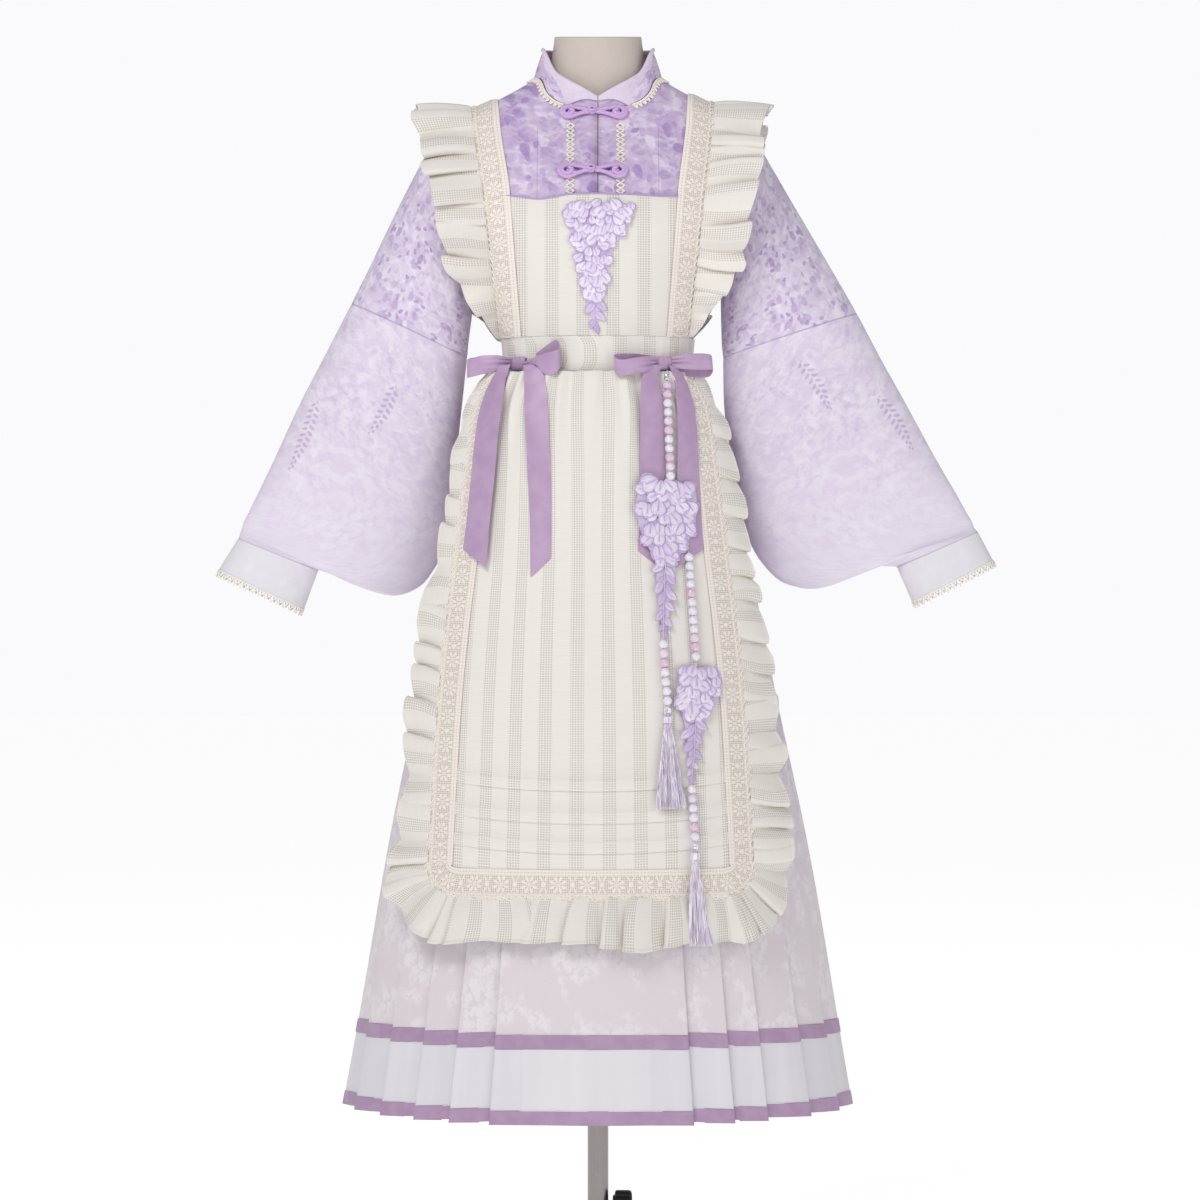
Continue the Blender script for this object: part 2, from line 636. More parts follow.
# Those inputs for a surface with relief. Sheen is its weight and its roughness.
def surface(shade, rough, relief=None, sheen=(0.0, 0.5), specular=0.5, **more):
    return {"Base Color": shade, "Roughness": rough, "Normal": relief, "Sheen Weight": sheen[0],
            "Sheen Roughness": sheen[1], "Specular IOR Level": specular, **more}


# The print's depth is (the coordinate it follows, where it starts, where it ends, its value at the end, at the start)
def printMaterial(name, follows, lines=None, layout=None, **changes):
    look = {**printLook, **changes}
    axis, low, high, most, least = follows

    def build(make, uv, place):
        measure = make.split(place)[2] if axis == "height" else make.split(uv)[1]
        shade, mottle = make.group(blossomPrint, layout(make, place) if layout else uv,
                                   depth=measure.step(low, high) * (most - least) + least, **look)
        height, thread = make.group(weaveGrain, uv, pitch=0.00045)
        shade = make.mix((thread - 0.5) * 0.25 + 0.04, shade, (0.98, 0.96, 1.0))
        if lines:
            shade = make.mix(lines(make, uv, place), shade, look["deep"])
        return surface(shade, 0.56 + mottle * 0.12, make.bump(height, 0.00003), (0.12, 0.45), 0.35)
    return newMaterial(name, build)


# Where a print lies: straight on the bodice, and round the skirt as if it hung without pleats
def uprightLayout(make, place):
    x, y, z = make.split(place)
    return make.join(x + y * 0.35, z)


def roundLayout(make, place):
    x, y, z = make.split(place)
    return make.join(x.turn(y * -1.0) * 0.3, z)


# The stitched darts at either side of the front
def dartLines(make, uv, place):
    x, y, z = make.split(place)
    return (x.abs() - 0.0715).abs().step(0.0007, 0.0002) * z.step(1.384, 1.38) * y.step(0.0, -0.02) * 0.5


# Along a sleeve the print is deep at the shoulder and nearly white at the cuff. A seam line crosses it,
# and each sprig is a spray between two places.
def sleevePrint(name, low, high, most, least, petals, seamAt, sprigs=(), ground=(0.868, 0.835, 0.888)):
    def lines(make, uv, place):
        x, _, z = make.split(place)
        shown = (make.split(uv)[1] - seamAt).abs().step(0.0012, 0.0004) * 0.5
        for a, b, c, d in sprigs:
            shown = shown.most(make.group(slantingSpray, make.join(x, z), fromX=a, fromZ=b, toX=c, toZ=d) * 0.45)
        return shown
    return printMaterial(name, ("cloth", high, low, most, least), lines, petals=petals, sprays=0.0, clouds=0.25,
                         stroke=2.3, size=1.45, ground=ground)


bodicePrint = printMaterial("bodice print", ("height", 1.20, 1.36, 1.1, 0.9), dartLines, uprightLayout,
                            petals=1.15, sprays=0.5, clouds=0.0, stroke=1.7, size=0.92, ground=(0.815, 0.755, 0.84))
# Beyond its fold the collar shows its paler inside
collarPrint = printMaterial("collar print", ("cloth", 0.0625, 0.0605, 0.9, 0.15), petals=0.9, sprays=0.2, clouds=0.1)
skirtPrint = printMaterial("skirt print", ("height", 0.38, 0.92, 1.0, 0.0), None, roundLayout, petals=0.8, sprays=0.0,
                           clouds=0.42, ground=(0.845, 0.81, 0.828), wash=(0.68, 0.585, 0.73), deep=(0.60, 0.48, 0.68))


def organzaBuild(make, uv, place):
    u, v, _ = make.split(roundLayout(make, place))
    x, y, _ = make.split(place)
    height, thread = make.group(weaveGrain, uv, pitch=0.0004, slub=0.7)
    bands = make.noise(make.join(u * 30.0, v * 2.0), 1.0)
    underlay = (x + 0.013).abs().step(0.0735, 0.0725) * y.step(0.0, -0.01)
    shade = make.mix(bands.step(0.35, 0.7), (0.878, 0.865, 0.89), (0.898, 0.886, 0.908))
    shade = make.mix(underlay * 0.5, shade, (0.905, 0.90, 0.912))
    shade = make.mix((thread - 0.5) * 0.3, shade, (0.96, 0.955, 0.965))
    return surface(shade, 0.42 + thread * 0.1, make.bump(height, 0.00003), (0.2, 0.3), 0.4, Alpha=0.88 + bands * 0.06)


def satinMaterial(name, first, second, rough, pitch, weight, bump):
    def build(make, uv, place):
        height = make.group(ribGrain, uv, pitch=pitch, weight=weight)
        shade = make.mix(make.noise(place, 45.0, 3.0, 0.6).step(0.3, 0.7), first, second)
        return surface(shade, rough + height * 0.1, make.bump(height, bump), (0.15, 0.35), Anisotropic=0.35)
    return newMaterial(name, build)


creamLook = {"solid": (0.894, 0.876, 0.85), "open": (0.905, 0.887, 0.862), "light": (0.93, 0.913, 0.888),
             "shade": (0.71, 0.68, 0.64)}


# Cream cloth with mesh stripes, which run down the piece
def creamMaterial(name, dim=0.0, **stripes):
    def build(make, uv, place):
        holes, stripe, height, slub = make.group(openStripes, uv, **stripes)
        thread, _ = make.group(weaveGrain, uv, pitch=0.00055, slub=0.8)
        shade = make.mix(stripe, creamLook["solid"], creamLook["open"])
        shade = make.mix(slub.step(0.35, 0.75) * 0.35, shade, creamLook["light"])
        shade = make.mix(holes * 0.55 + dim, shade, creamLook["shade"])
        return surface(shade, 0.78 + slub * 0.1, make.bump(height * 0.85 + thread * 0.15, 0.00009), (0.12, 0.5), 0.25,
                       Alpha=1.0 - holes * 0.1)
    return newMaterial(name, build)


def laceBuild(make, uv, place):
    holes, height, star = make.group(crochetStars, uv)
    shade = make.mix(height.step(0.0, 1.2), (0.88, 0.845, 0.81), (0.92, 0.89, 0.855))
    shade = make.mix(star * 0.5, shade, (0.935, 0.905, 0.87))
    shade = make.mix(holes * 0.6, shade, (0.69, 0.625, 0.575))
    return surface(shade, 0.8 + holes * 0.1, make.bump(height, 0.0003), (0.1, 0.5), 0.25, Alpha=1.0 - holes * 0.15)


def threadMaterial(name, dark, light, rough, pitch, slant, bump):
    def build(make, uv, place):
        height, ridge = make.group(twistGrain, uv, pitch=pitch, slant=slant)
        shade = make.mix(ridge.step(0.05, 0.7), dark, light)
        shade = make.mix(make.noise(place, 160.0).step(0.35, 0.75) * 0.25, shade, light)
        return surface(shade, rough + ridge * 0.08, make.bump(height, bump), (0.15, 0.4), 0.4)
    return newMaterial(name, build)


def linenBuild(make, uv, place):
    height, thread = make.group(weaveGrain, uv, pitch=0.0009, slub=1.0)
    spots = make.noise(place, 95.0).step(0.66, 0.76)
    shade = make.mix((thread - 0.3) * 0.6, (0.77, 0.725, 0.69), (0.845, 0.805, 0.775))
    shade = make.mix(spots * 0.25, shade, (0.66, 0.62, 0.60))
    return surface(shade, 0.86 + thread * 0.08, make.bump(height, 0.00007), (0.08, 0.5), 0.2)


# Stitched blossoms: close satin stitches that run out from each petal's root
def stitchBuild(make, uv, place):
    u, v, _ = make.split(uv)
    across = (v / 0.0010 * math.pi).sin().abs()
    tone = make.node("Attribute", ("Color",), attribute_name="petalTone")
    fibre = make.noise(make.join(u * 180.0, v * 1400.0), 1.0)
    streak = make.noise(make.join(u * 70.0, v * 480.0), 1.0).step(0.46, 0.64)
    return surface(make.mix(streak * 0.55 + fibre * 0.1, tone, (0.74, 0.65, 0.83)), 0.42 + fibre * 0.15,
                   make.bump(across * 0.7 + fibre * 0.3, 0.00007), (0.2, 0.3))


def beadBuild(make, uv, place):
    tone = make.node("Attribute", ("Color",), attribute_name="petalTone")
    swirl = make.noise(place, 420.0, 3.0, 0.6, 1.2)
    return surface(make.mix(swirl.step(0.35, 0.7) * 0.4, tone, (0.98, 0.95, 0.97)), 0.12 + swirl * 0.12, specular=0.6,
                   **{"Subsurface Weight": 0.6, "Subsurface Radius": [0.004, 0.003, 0.004],
                      "Coat Weight": 0.4, "Coat Roughness": 0.1})


def silkBuild(make, uv, place):
    u, v, _ = make.split(uv)
    x, y, z = make.split(place)
    strand = make.noise(make.join(u * 40.0, v * 2600.0), 1.0)
    lock = make.noise(make.join(x * 900.0 + z * 25.0, y * 400.0, z * 14.0), 1.0)
    shade = make.mix(lock.step(0.40, 0.60) * 0.8 + strand * 0.2, (0.80, 0.74, 0.84), (1.0, 0.99, 1.0))
    return surface(shade, 0.32 + strand * 0.15, make.bump(strand, 0.00008), (0.25, 0.3), Anisotropic=0.5)


def metalMaterial(name, first, second, rough, metallic):
    def build(make, uv, place):
        x, y, z = make.split(place)
        brushed = make.noise(make.join(x * 900.0, y * 900.0, z * 12.0), 1.0, 3.0)
        wear = make.noise(place, 40.0, 4.0).step(0.55, 0.7)
        return surface(make.mix(brushed * 0.6 + wear * 0.2, first, second), rough + brushed * 0.12 + wear * 0.06,
                       make.bump(brushed, 0.00004), Metallic=metallic)
    return newMaterial(name, build)


def paintMaterial(name, first, second, rough, grain, bump):
    def build(make, uv, place):
        speck = make.noise(place, grain, 3.0)
        scuff = make.noise(place, 18.0, 4.0).step(0.58, 0.75)
        return surface(make.mix(scuff * 0.3 + speck * 0.2, first, second), rough + speck * 0.1 + scuff * 0.1,
                       make.bump(speck, bump))
    return newMaterial(name, build)


organza = newMaterial("organza", organzaBuild)
bowSatin = satinMaterial("bow satin", (0.68, 0.565, 0.70), (0.72, 0.61, 0.735), 0.36, 0.0007, 0.35, 0.000015)
hemRibbon = satinMaterial("hem ribbon", (0.65, 0.535, 0.66), (0.69, 0.58, 0.70), 0.45, 0.0011, 0.75, 0.00005)
crochet = newMaterial("crochet band", laceBuild)
laceThread = threadMaterial("lace thread", (0.85, 0.81, 0.765), (0.945, 0.925, 0.89), 0.8, 0.0012, 1.1, 0.0001)
frogCord = threadMaterial("frog cord", (0.62, 0.47, 0.71), (0.84, 0.71, 0.89), 0.34, 0.0021, 1.4, 0.00022)
pipingCord = threadMaterial("piping", (0.58, 0.47, 0.68), (0.74, 0.64, 0.82), 0.5, 0.0012, 1.0, 0.00008)
strandThread = threadMaterial("strand thread", (0.80, 0.76, 0.78), (0.93, 0.90, 0.91), 0.5, 0.0006, 1.0, 0.0001)
linen = newMaterial("linen", linenBuild)
stitched = newMaterial("stitched petals", stitchBuild)
beadGlass = newMaterial("bead glass", beadBuild)
tasselSilk = newMaterial("tassel silk", silkBuild)
steel = metalMaterial("steel tube", (0.54, 0.52, 0.51), (0.66, 0.64, 0.63), 0.24, 0.9)
silver = metalMaterial("silver metal", (0.76, 0.76, 0.78), (0.88, 0.88, 0.90), 0.16, 1.0)
enamel = paintMaterial("cream enamel", (0.87, 0.862, 0.85), (0.80, 0.79, 0.775), 0.36, 600.0, 0.00005)
blackPlastic = paintMaterial("black plastic", (0.11, 0.108, 0.112), (0.18, 0.178, 0.18), 0.42, 900.0, 0.0001)
print("materials made")
# A wide white floor, a soft sky that the camera sees as white paper, and two large lamps
studio = {"sky": 0.38, "seen": 0.97, "tint": (0.985, 0.985, 1.0, 1), "glow": 0.60, "floor": 24000,
          "paper": (0.995, 0.995, 1.0), "paperShade": (0.975, 0.972, 0.985), "aim": (0, 0, 0.85),
          "lamps": [("key", 43.5, (-1.2, -2.3, 3.0), 1.4), ("fill", 16.0, (2.4, -2.6, 1.8), 2.6)]}


def paperBuild(make, uv, place):
    shade = make.mix(make.noise(place, 3.0, 3.0) * 0.3, studio["paper"], studio["paperShade"])
    return surface(shade, 0.95, specular=0.0,
                   **{"Emission Color": (1.0, 1.0, 1.0), "Emission Strength": studio["glow"]})


def makeStudio():
    line = np.linspace(-studio["floor"], studio["floor"], 9)
    x, y = np.meshgrid(line, line)
    faces, uvs = gridFaces(uvOf(x, y))
    points = np.stack([x, y, 0 * x], -1).reshape(-1, 3)
    newPiece("studio_floor", points, faces.tolist(), uvs, newMaterial("studio paper", paperBuild))
    world = bpy.data.worlds.new("studio")
    world.use_nodes = True
    nodes, links = world.node_tree.nodes, world.node_tree.links
    sky, path, level = nodes["Background"], nodes.new("ShaderNodeLightPath"), nodes.new("ShaderNodeMapRange")
    sky.inputs[0].default_value = studio["tint"]
    level.inputs["To Min"].default_value = studio["sky"]
    level.inputs["To Max"].default_value = studio["seen"]
    links.new(path.outputs["Is Camera Ray"], level.inputs["Value"])
    links.new(level.outputs["Result"], sky.inputs[1])
    scene.world = world
    for name, power, place, size in studio["lamps"]:
        lamp = bpy.data.lights.new(name, "AREA")
        lamp.energy, lamp.size = power, size
        holder = bpy.data.objects.new(name, lamp)
        holder.location = place
        holder.rotation_euler = (Vector(studio["aim"]) - Vector(place)).to_track_quat("-Z", "Y").to_euler()
        scene.collection.objects.link(holder)


makeStudio()
print("studio set")


# Gives a piece a tone at each point, which its material reads
def paint(piece, tones):
    layer = piece.data.color_attributes.new(name="petalTone", type="FLOAT_COLOR", domain="POINT")
    layer.data.foreach_set("color", np.concatenate(tones).ravel())


# A place in front of the apron, x and z as given
def onApron(x, z, lift):
    place = apron.under(x, z, lift + gathersAt(z)[0])
    place[..., 0], place[..., 2] = x, z
    return place


# Stitched petals lie on the surface like tiles, the upper ones over the lower ones.
petalLook = {
    "middle": (0.93, 0.91, 0.94), "shadow": (0.77, 0.69, 0.86), "line": (0.69, 0.59, 0.79), "cut": (0.90, 0.885, 0.88),
    "leaf": (0.71, 0.61, 0.80), "ground": (0.80, 0.75, 0.86), "thickness": 0.8, "dome": 1.1,
}
acrossPetal = np.array([-1, -0.92, -0.80, -0.68, -0.4, -0.14, 0, 0.14, 0.4, 0.68, 0.80, 0.92, 1])
alongPetal = np.array([0, 0.1, 0.25, 0.45, 0.62, 0.76, 0.85, 0.93, 1])


class PetalSheet:
    def __init__(self, place, seed):
        self.place = place              # (x, z, lift) arrays to points
        self.random = np.random.default_rng(seed)
        self.parts, self.tones = [], []

    # A petal from its root, pointing turn radians from straight down. Point 0 is a round tip, 1 a leaf's.
    def petal(self, x, z, turn, length, width, lift, leaf=0.0, point=0.0):
        a, b = np.meshgrid(acrossPetal, alongPetal)
        bend, side = self.random.uniform(-0.16, 0.16), self.random.choice([-1, 1])
        blunt = np.sin(math.pi * np.clip(b, 0.03, 0.97) ** (1.35 - 0.6 * point)) ** 0.55
        sharp = np.sin(math.pi * np.clip(b, 0.02, 0.985) ** 0.8) ** 1.1
        outline = blunt * (1 - point) + sharp * point
        ripple = 1 + (1 - point) * 0.07 * np.sin(b * 9 + self.random.uniform(0, 6)) * np.sign(a)
        sideways = a * width / 2 * outline * ripple + bend * length * b * b
        notch = (1 - point) * 0.10 * np.exp(-(a / 0.3) ** 2) * smoothStep(b, 0.7, 1.0)
        down = (b - notch) * length
        dx = sideways * math.cos(turn) + down * math.sin(turn)
        dz = -down * math.cos(turn) + sideways * math.sin(turn)
        inside = (1 - a ** 2) * np.sin(math.pi * np.clip(b, 0, 1)) ** 0.6
        groove = np.exp(-(a / 0.16) ** 2) * smoothStep(b, 1.0, 0.2)
        height = lift + petalLook["dome"] * inside * (1 - 0.6 * groove) + 1.5 * b - 0.7 * np.abs(a) ** 3
        grid = self.place(x + dx, z + dz, height)
        self.parts.append(wallParts(grid[:, ::-1], petalLook["thickness"], uv=uvOf(down, sideways)[:, ::-1]))
        middle, shadow, line, cut, ripe = (np.array(colour(petalLook[key]))
                                           for key in ("middle", "shadow", "line", "cut", "leaf"))
        wash = np.clip(0.75 * smoothStep(a * side, 0.1, 1.0) + 0.8 * smoothStep(b, 0.4, 0.0) + 0.4 * groove, 0, 1)
        wash = (wash * self.random.uniform(0.35, 1.0))[..., None]
        tone = (middle * (1 - leaf) + ripe * leaf) * (1 - wash) + shadow * wash
        a = np.abs(a)
        lined = (a > 0.75) & (a < 0.95) | (b > 0.9) & (b < 0.95) | (a < 0.05) & (b < 0.7)
        tone = np.where(lined[..., None], line, tone)
        tone = np.where(((a > 0.99) | (b > 0.99))[..., None], cut, tone)[:, ::-1].reshape(-1, 4)
        self.tones += [tone, tone]

    # Fills an outline, rows of (height, left, right), from its tip upwards: leaves where narrow, petals above
    def fill(self, rows, lift, size, narrow=34):
        edges, draw = smoothTable(rows), self.random.uniform
        low, high = rows[0][0], rows[-1][0]
        self.petal(float(sum(edges(low + 12)) / 2), low + 13, 0.15, 15, 8.5, lift, leaf=0.9, point=1.0)
        z, row = low + 16, 0
        while z < high - 3:
            left, right = (float(v) for v in edges(z))
            width, middle, side = right - left, (left + right) / 2, 1 if row % 2 else -1
            if width < narrow:
                reach = min(max(width * 0.85, 12.5), 18.5)
                self.petal(middle - side * 0.8, z + 2, side * draw(0.5, 0.8), reach, reach * 0.6, lift,
                           leaf=draw(0.2, 0.75), point=1.0)
                if width > 25:
                    self.petal(middle - side * 2, z + 5, -side * draw(0.5, 1.0), reach, reach * 0.62, lift + 0.8,
                               leaf=draw(0.2, 0.7), point=0.8)
                z += reach * 0.55
            else:
                inner = width - size * 0.8
                count = max(int(round(inner / (size * 0.74))) + 1, 2)
                for i in self.random.permutation(count):
                    part = (i + 0.5 + 0.25 * side) / count
                    turn = (part - 0.5) * 2.0 + draw(-0.9, 0.9)
                    reach = size * draw(0.7, 1.2)
                    self.petal(middle + inner * (part - 0.5) - math.sin(turn) * reach * 0.4,
                               z + reach * 0.45 + draw(-2, 2), turn, reach, reach * draw(0.85, 1.2),
                               lift + draw(0, 1.8), leaf=draw(0, 0.3), point=draw(0, 0.4))
                z += size * 0.56
            row += 1

    # A cloth ground behind the petals, a little inside their outline
    def ground(self, rows, lift, thickness):
        heights = np.linspace(rows[0][0] + 8, rows[-1][0] - 6, 28)
        left, right = smoothTable(rows)(heights)
        inset = np.minimum(5.0, (right - left) * 0.4)
        parts = np.linspace(0, 1, 7)
        x = (left + inset)[:, None] * (1 - parts) + (right - inset)[:, None] * parts
        z = np.broadcast_to(heights[:, None], x.shape)
        self.parts.append(wallParts(self.place(x, z, np.full(x.shape, lift + thickness, float)), thickness))
        self.tones.append(np.tile(colour(petalLook["ground"]), (len(self.parts[-1][0]), 1)))

    def piece(self, name, replaced):
        piece = newPiece(name, *joinParts(self.parts), stitched)
        paint(piece, self.tones)
        return settle(piece, replaced)


# The waist ornament: a clasp, two threads with beads, two pendants of stitched blossom, two tassels.
# Spans of beads go from the top: rose, pale or white.
ornament = {"lift": 12, "thread": 1.2, "beadRadius": 5.4, "claspX": 81, "claspTop": 1091.2,
            "r": (0.85, 0.71, 0.83), "p": (0.87, 0.80, 0.88), "w": (0.885, 0.865, 0.915)}
strands = {
    "upper": {
        "route": [(81, 1081), (82, 1050), (84, 990), (85, 961), (84, 930), (80, 880), (77, 830), (76, 775),
                  (78, 735), (81, 699), (82, 660), (83, 612)],
        "length": 0.48, "beads": [(961, 1079, "rrwwprwwrpw"), (699, 775, "wprwwww")],
        "beadSeed": 21, "beadSolids": ("beads_upper", "beads_middle"),
        "pendant": [(776, 74, 78), (800, 68, 87), (835, 64, 92), (868, 62, 98), (885, 52, 108), (905, 44, 117),
                    (928, 40, 121), (948, 42, 120), (960, 66, 96)],
        "petal": 21.0, "pendantSeed": 11,
        "tassel": [(580, 66, 104), (620, 70, 96), (655, 74, 90), (682, 75, 86), (698, 76, 85)],
        "tasselLift": -3.5, "tasselDepth": 7, "tasselSeed": 31},
    "lower": {
        "route": [(106, 878), (108, 840), (112, 785), (114, 750), (114, 720), (113, 680), (111, 640), (108, 608),
                  (110, 575), (112, 543), (114, 505), (117, 455)],
        "length": 0.43, "beads": [(750, 876, "wwwwrwwwwprw"), (543, 608, "wpwwrw")],
        "beadSeed": 22, "beadSolids": ("beads_side", "beads_lower"),
        "pendant": [(609, 106, 110), (635, 101, 117), (665, 98, 124), (684, 94, 130), (700, 90, 142), (722, 87, 148),
                    (740, 90, 147), (749, 104, 124)],
        "petal": 18.0, "pendantSeed": 12,
        "tassel": [(424, 103, 135), (460, 104, 126), (500, 106, 120), (526, 107, 117), (542, 107, 117)],
        "tasselLift": -0.8, "tasselDepth": 6.5, "tasselSeed": 32},
}


def routeOf(look):
    rows = look["route"]
    heights = np.linspace(rows[0][1], rows[-1][1], 34)
    return onApron(smoothTable([(-z, x) for x, z in rows])(-heights)[0], heights, np.full(34, float(ornament["lift"])))


def makeThread(key, look):
    route = routeOf(look) * mm
    curve = bpy.data.curves.new("thread_" + key, "CURVE")
    curve.dimensions = "3D"
    curve.bevel_depth = ornament["thread"] / 2 * mm
    curve.bevel_resolution = 2
    line = curve.splines.new("POLY")
    line.points.add(len(route) - 1)
    line.points.foreach_set("co", np.column_stack([route, np.ones(len(route))]).ravel())
    curve.materials.append(strandThread)
    thread = bpy.data.objects.new("thread_" + key, curve)
    scene.collection.objects.link(thread)
    settle(thread)
    print("thread", key, round(float(lengths(route)[-1]), 4))


def makeBeads(key, look):
    random = np.random.default_rng(look["beadSeed"])
    route = routeOf(look)
    parts, tones = [], []
    p, r = np.meshgrid(np.linspace(-quarter, quarter, 9), np.linspace(0, tau, 15), indexing="ij")
    wide = np.maximum(np.cos(p), 0.16)
    ball = np.stack([wide * np.cos(r), wide * np.sin(r), np.sin(p)], -1)
    for low, high, order in look["beads"]:
        for i, kind in enumerate(order):
            z = high - (i + 0.5) * (high - low) / len(order)
            centre = readAt(-z, -route[:, 2], route)
            radius = ornament["beadRadius"] * random.uniform(0.97, 1.03)
            parts.append(wallParts(centre + radius * ball, 0.7, closed=True))
            tones.append(np.tile(colour(ornament[kind]), (len(parts[-1][0]), 1)))
    piece = newPiece("beads_on_" + key, *joinParts(parts), beadGlass)
    paint(piece, tones)
    return settle(piece, look["beadSolids"])


# A knot wound round the thread, a bound neck, and silk strands that spread to a fringe
def makeTassel(key, look):
    random = np.random.default_rng(look["tasselSeed"])
    rows, deep = look["tassel"], look["tasselDepth"]
    centre = ornament["lift"] + look["tasselLift"] + deep / 2
    edges = smoothTable(rows)
    low, high = rows[0][0], rows[-1][0]
    neckTop, neckLow = high - 6, high - 17
    tubes = []
    for _ in range(300):
        across = random.uniform(-1, 1)
        within = random.uniform(-1, 1) * math.sqrt(max(1 - across * across, 0.02))
        end = low + random.uniform(0, 5) + (3 if random.uniform() > 0.9 else 0)
        heights = np.linspace(neckTop, end, 9)
        left, right = edges(heights)
        middle, half = (left + right) / 2, (right - left) / 2
        spread = np.minimum(1, 0.55 + 0.5 * smoothStep(heights, neckLow, neckLow - 30))
        stray = random.uniform(-1, 1, 9).cumsum() * 0.25
        x = middle + across * half * 0.93 * spread + stray * (heights < neckLow)
        outward = centre + within * deep / 2 * np.minimum(1, 0.6 + 0.4 * (neckTop - heights) / 60)
        tubes.append(tubeParts(onApron(x, heights, outward), 0.38, 3))
    turn = np.linspace(0, tau, 17)[:-1]
    cosine, sine = np.cos(turn), np.sin(turn)
    middle = float(sum(edges(neckLow)) / 2)
    for z in np.linspace(neckLow - 1, neckLow + 5, 5):
        ring = onApron(np.full(16, middle), np.full(16, z), np.full(16, centre))
        tubes.append(tubeParts(ring + np.stack([4.6 * cosine, 4.1 * sine, 0.4 * sine], -1), 0.85, closed=True))
    top = float(sum(edges(high - 4)) / 2)
    knot = onApron(np.array([top]), np.array([high - 5.0]), np.array([float(centre)]))[0]
    for tilt in (0.2, 1.25, 2.3):
        loop = 3.1 * np.stack([cosine, sine * math.sin(tilt), sine * math.cos(tilt)], -1)
        tubes.append(tubeParts(knot + loop, 1.5, closed=True))
    return tubePiece("tassel_of_" + key, tubes, tasselSilk, "tassel_" + key)


def makeClasp():
    x, top = ornament["claspX"], ornament["claspTop"]
    centre = onApron(np.array([x]), np.array([1082.0]), np.array([ornament["lift"] + 2.0]))[0]
    turn = np.linspace(0, tau, 25)
    rings = np.array([np.stack([centre[0] + r * np.cos(turn), centre[1] + r * 0.7 * np.sin(turn),
                                0 * turn + top - 11.5 + h], -1)
                      for r, h in [(2.1, 0), (2.9, 1.0), (3.1, 3.0), (2.7, 5.6), (2.0, 7.4), (1.3, 8.2)]])
    turn = turn[:-1]
    hook = np.stack([2.5 * np.sin(turn * 0.82), 0 * turn, 3.4 * np.cos(turn * 0.82)], -1) + (*centre[:2], top - 3.6)
    eye = np.stack([1.9 * np.cos(turn), 0.3 * np.sin(turn), 1.9 * np.sin(turn)], -1) + (*centre[:2], top - 12.4)
    tubes = [tubeParts(hook, 0.75, 8), tubeParts(eye, 0.55, 8, closed=True), wallParts(rings, 0.8, closed=True)]
    tubePiece("clasp_hook", tubes, silver, "clasp")


def makePendant(key, look):
    sheet = PetalSheet(onApron, look["pendantSeed"])
    lift = ornament["lift"] - 2.6
    sheet.ground(look["pendant"], lift - 0.6, 1.2)
    sheet.fill(look["pendant"], lift + 1.0, look["petal"])
    return sheet.piece("pendant_of_" + key, "pendant_" + key)


makeClasp()
onStrands = [[make(key, look) for key, look in strands.items()] for make in (makePendant, makeBeads, makeTassel)]
for (key, look), pendant, beads, tassel in zip(strands.items(), *onStrands):
    makeThread(key, look)
print("ornament made")


# The dress form: a smooth covered torso with flat arm plates, on a pole that slides in the stand's hub
formLook = {"bottom": 850, "clearance": 2.0, "armGap": 2.5, "topDip": 6.5}
hips = OvalSurface([(850, 128, 86, 96, 2.2), (862, 146, 100, 112, 2.2), (920, 152, 106, 116, 2.2),
                    (1000, 135, 96, 99, 2.2), (1085, 110, 80, 76, 2.3), (1112, 107.5, 80, 74, 2.3)])
neck = OvalSurface([(1405, 148, 56, 67, 2.3), (1421, 100, 52, 60, 2.2), (1440, 67, 50, 55, 2.2),
                    (1462, 57, 49.5, 52.5, 2.2), (1480, 54, 48, 51, 2.1), (1497, 52, 47.5, 50, 2)])
armhole = {"bottom": 1232, "top": 1392, "bottomX": 141, "lean": 0.25}


def armholeX(z):
    return armhole["bottomX"] + (z - armhole["bottom"]) * armhole["lean"]


def makeForm():
    angles = np.linspace(0, tau, 121)
    levels = [(hips, [*np.linspace(850, 862, 4), *np.linspace(880, 1100, 12)], 0),
              (dress, np.linspace(1122, 1392, 28), -formLook["clearance"]),
              (neck, [*np.linspace(1405, 1480, 12), 1486, 1491, 1495], 0)]
    grid = np.array([oval.at(angles, z, lift) for oval, heights, lift in levels for z in heights])
    reach = armholeX(grid[..., 2]) - formLook["armGap"]
    near = (grid[..., 2] > 1205) & (grid[..., 2] < 1430)
    grid[..., 0] = np.where(near, np.clip(grid[..., 0], -reach, reach), grid[..., 0])

    def closing(ring, parts):
        centre = ring.mean(0)
        return np.array([centre + (ring - centre) * (part, part, 1) + (0, 0, rise) for part, rise in parts])
    # The neck block's top dips a little towards the front
    grid[..., 2] -= formLook["topDip"] * smoothStep(grid[..., 2], 1470, 1495) * np.clip(-grid[..., 1] / 46, 0, 1)
    top = closing(grid[-1], [(0.995, 1.2), (0.975, 1.9), (0.6, 2.0), (0.25, 2.0), (0.001, 2.0)])
    bottom = closing(grid[0], [(0.001, 0), (0.3, 0), (0.7, 0), (0.97, 0)])
    grid = np.concatenate([bottom, grid, top])
    settle(skinPiece("covered_torso", grid, clothUv(grid), linen, apart=2e-4), "form_torso")


standLook = {"radius": 185, "rim": 8, "height": 14, "crown": 60, "bore": 12.6, "outer": 17, "flange": 34,
             "top": 99, "pole": 12.5, "poleBottom": 20}


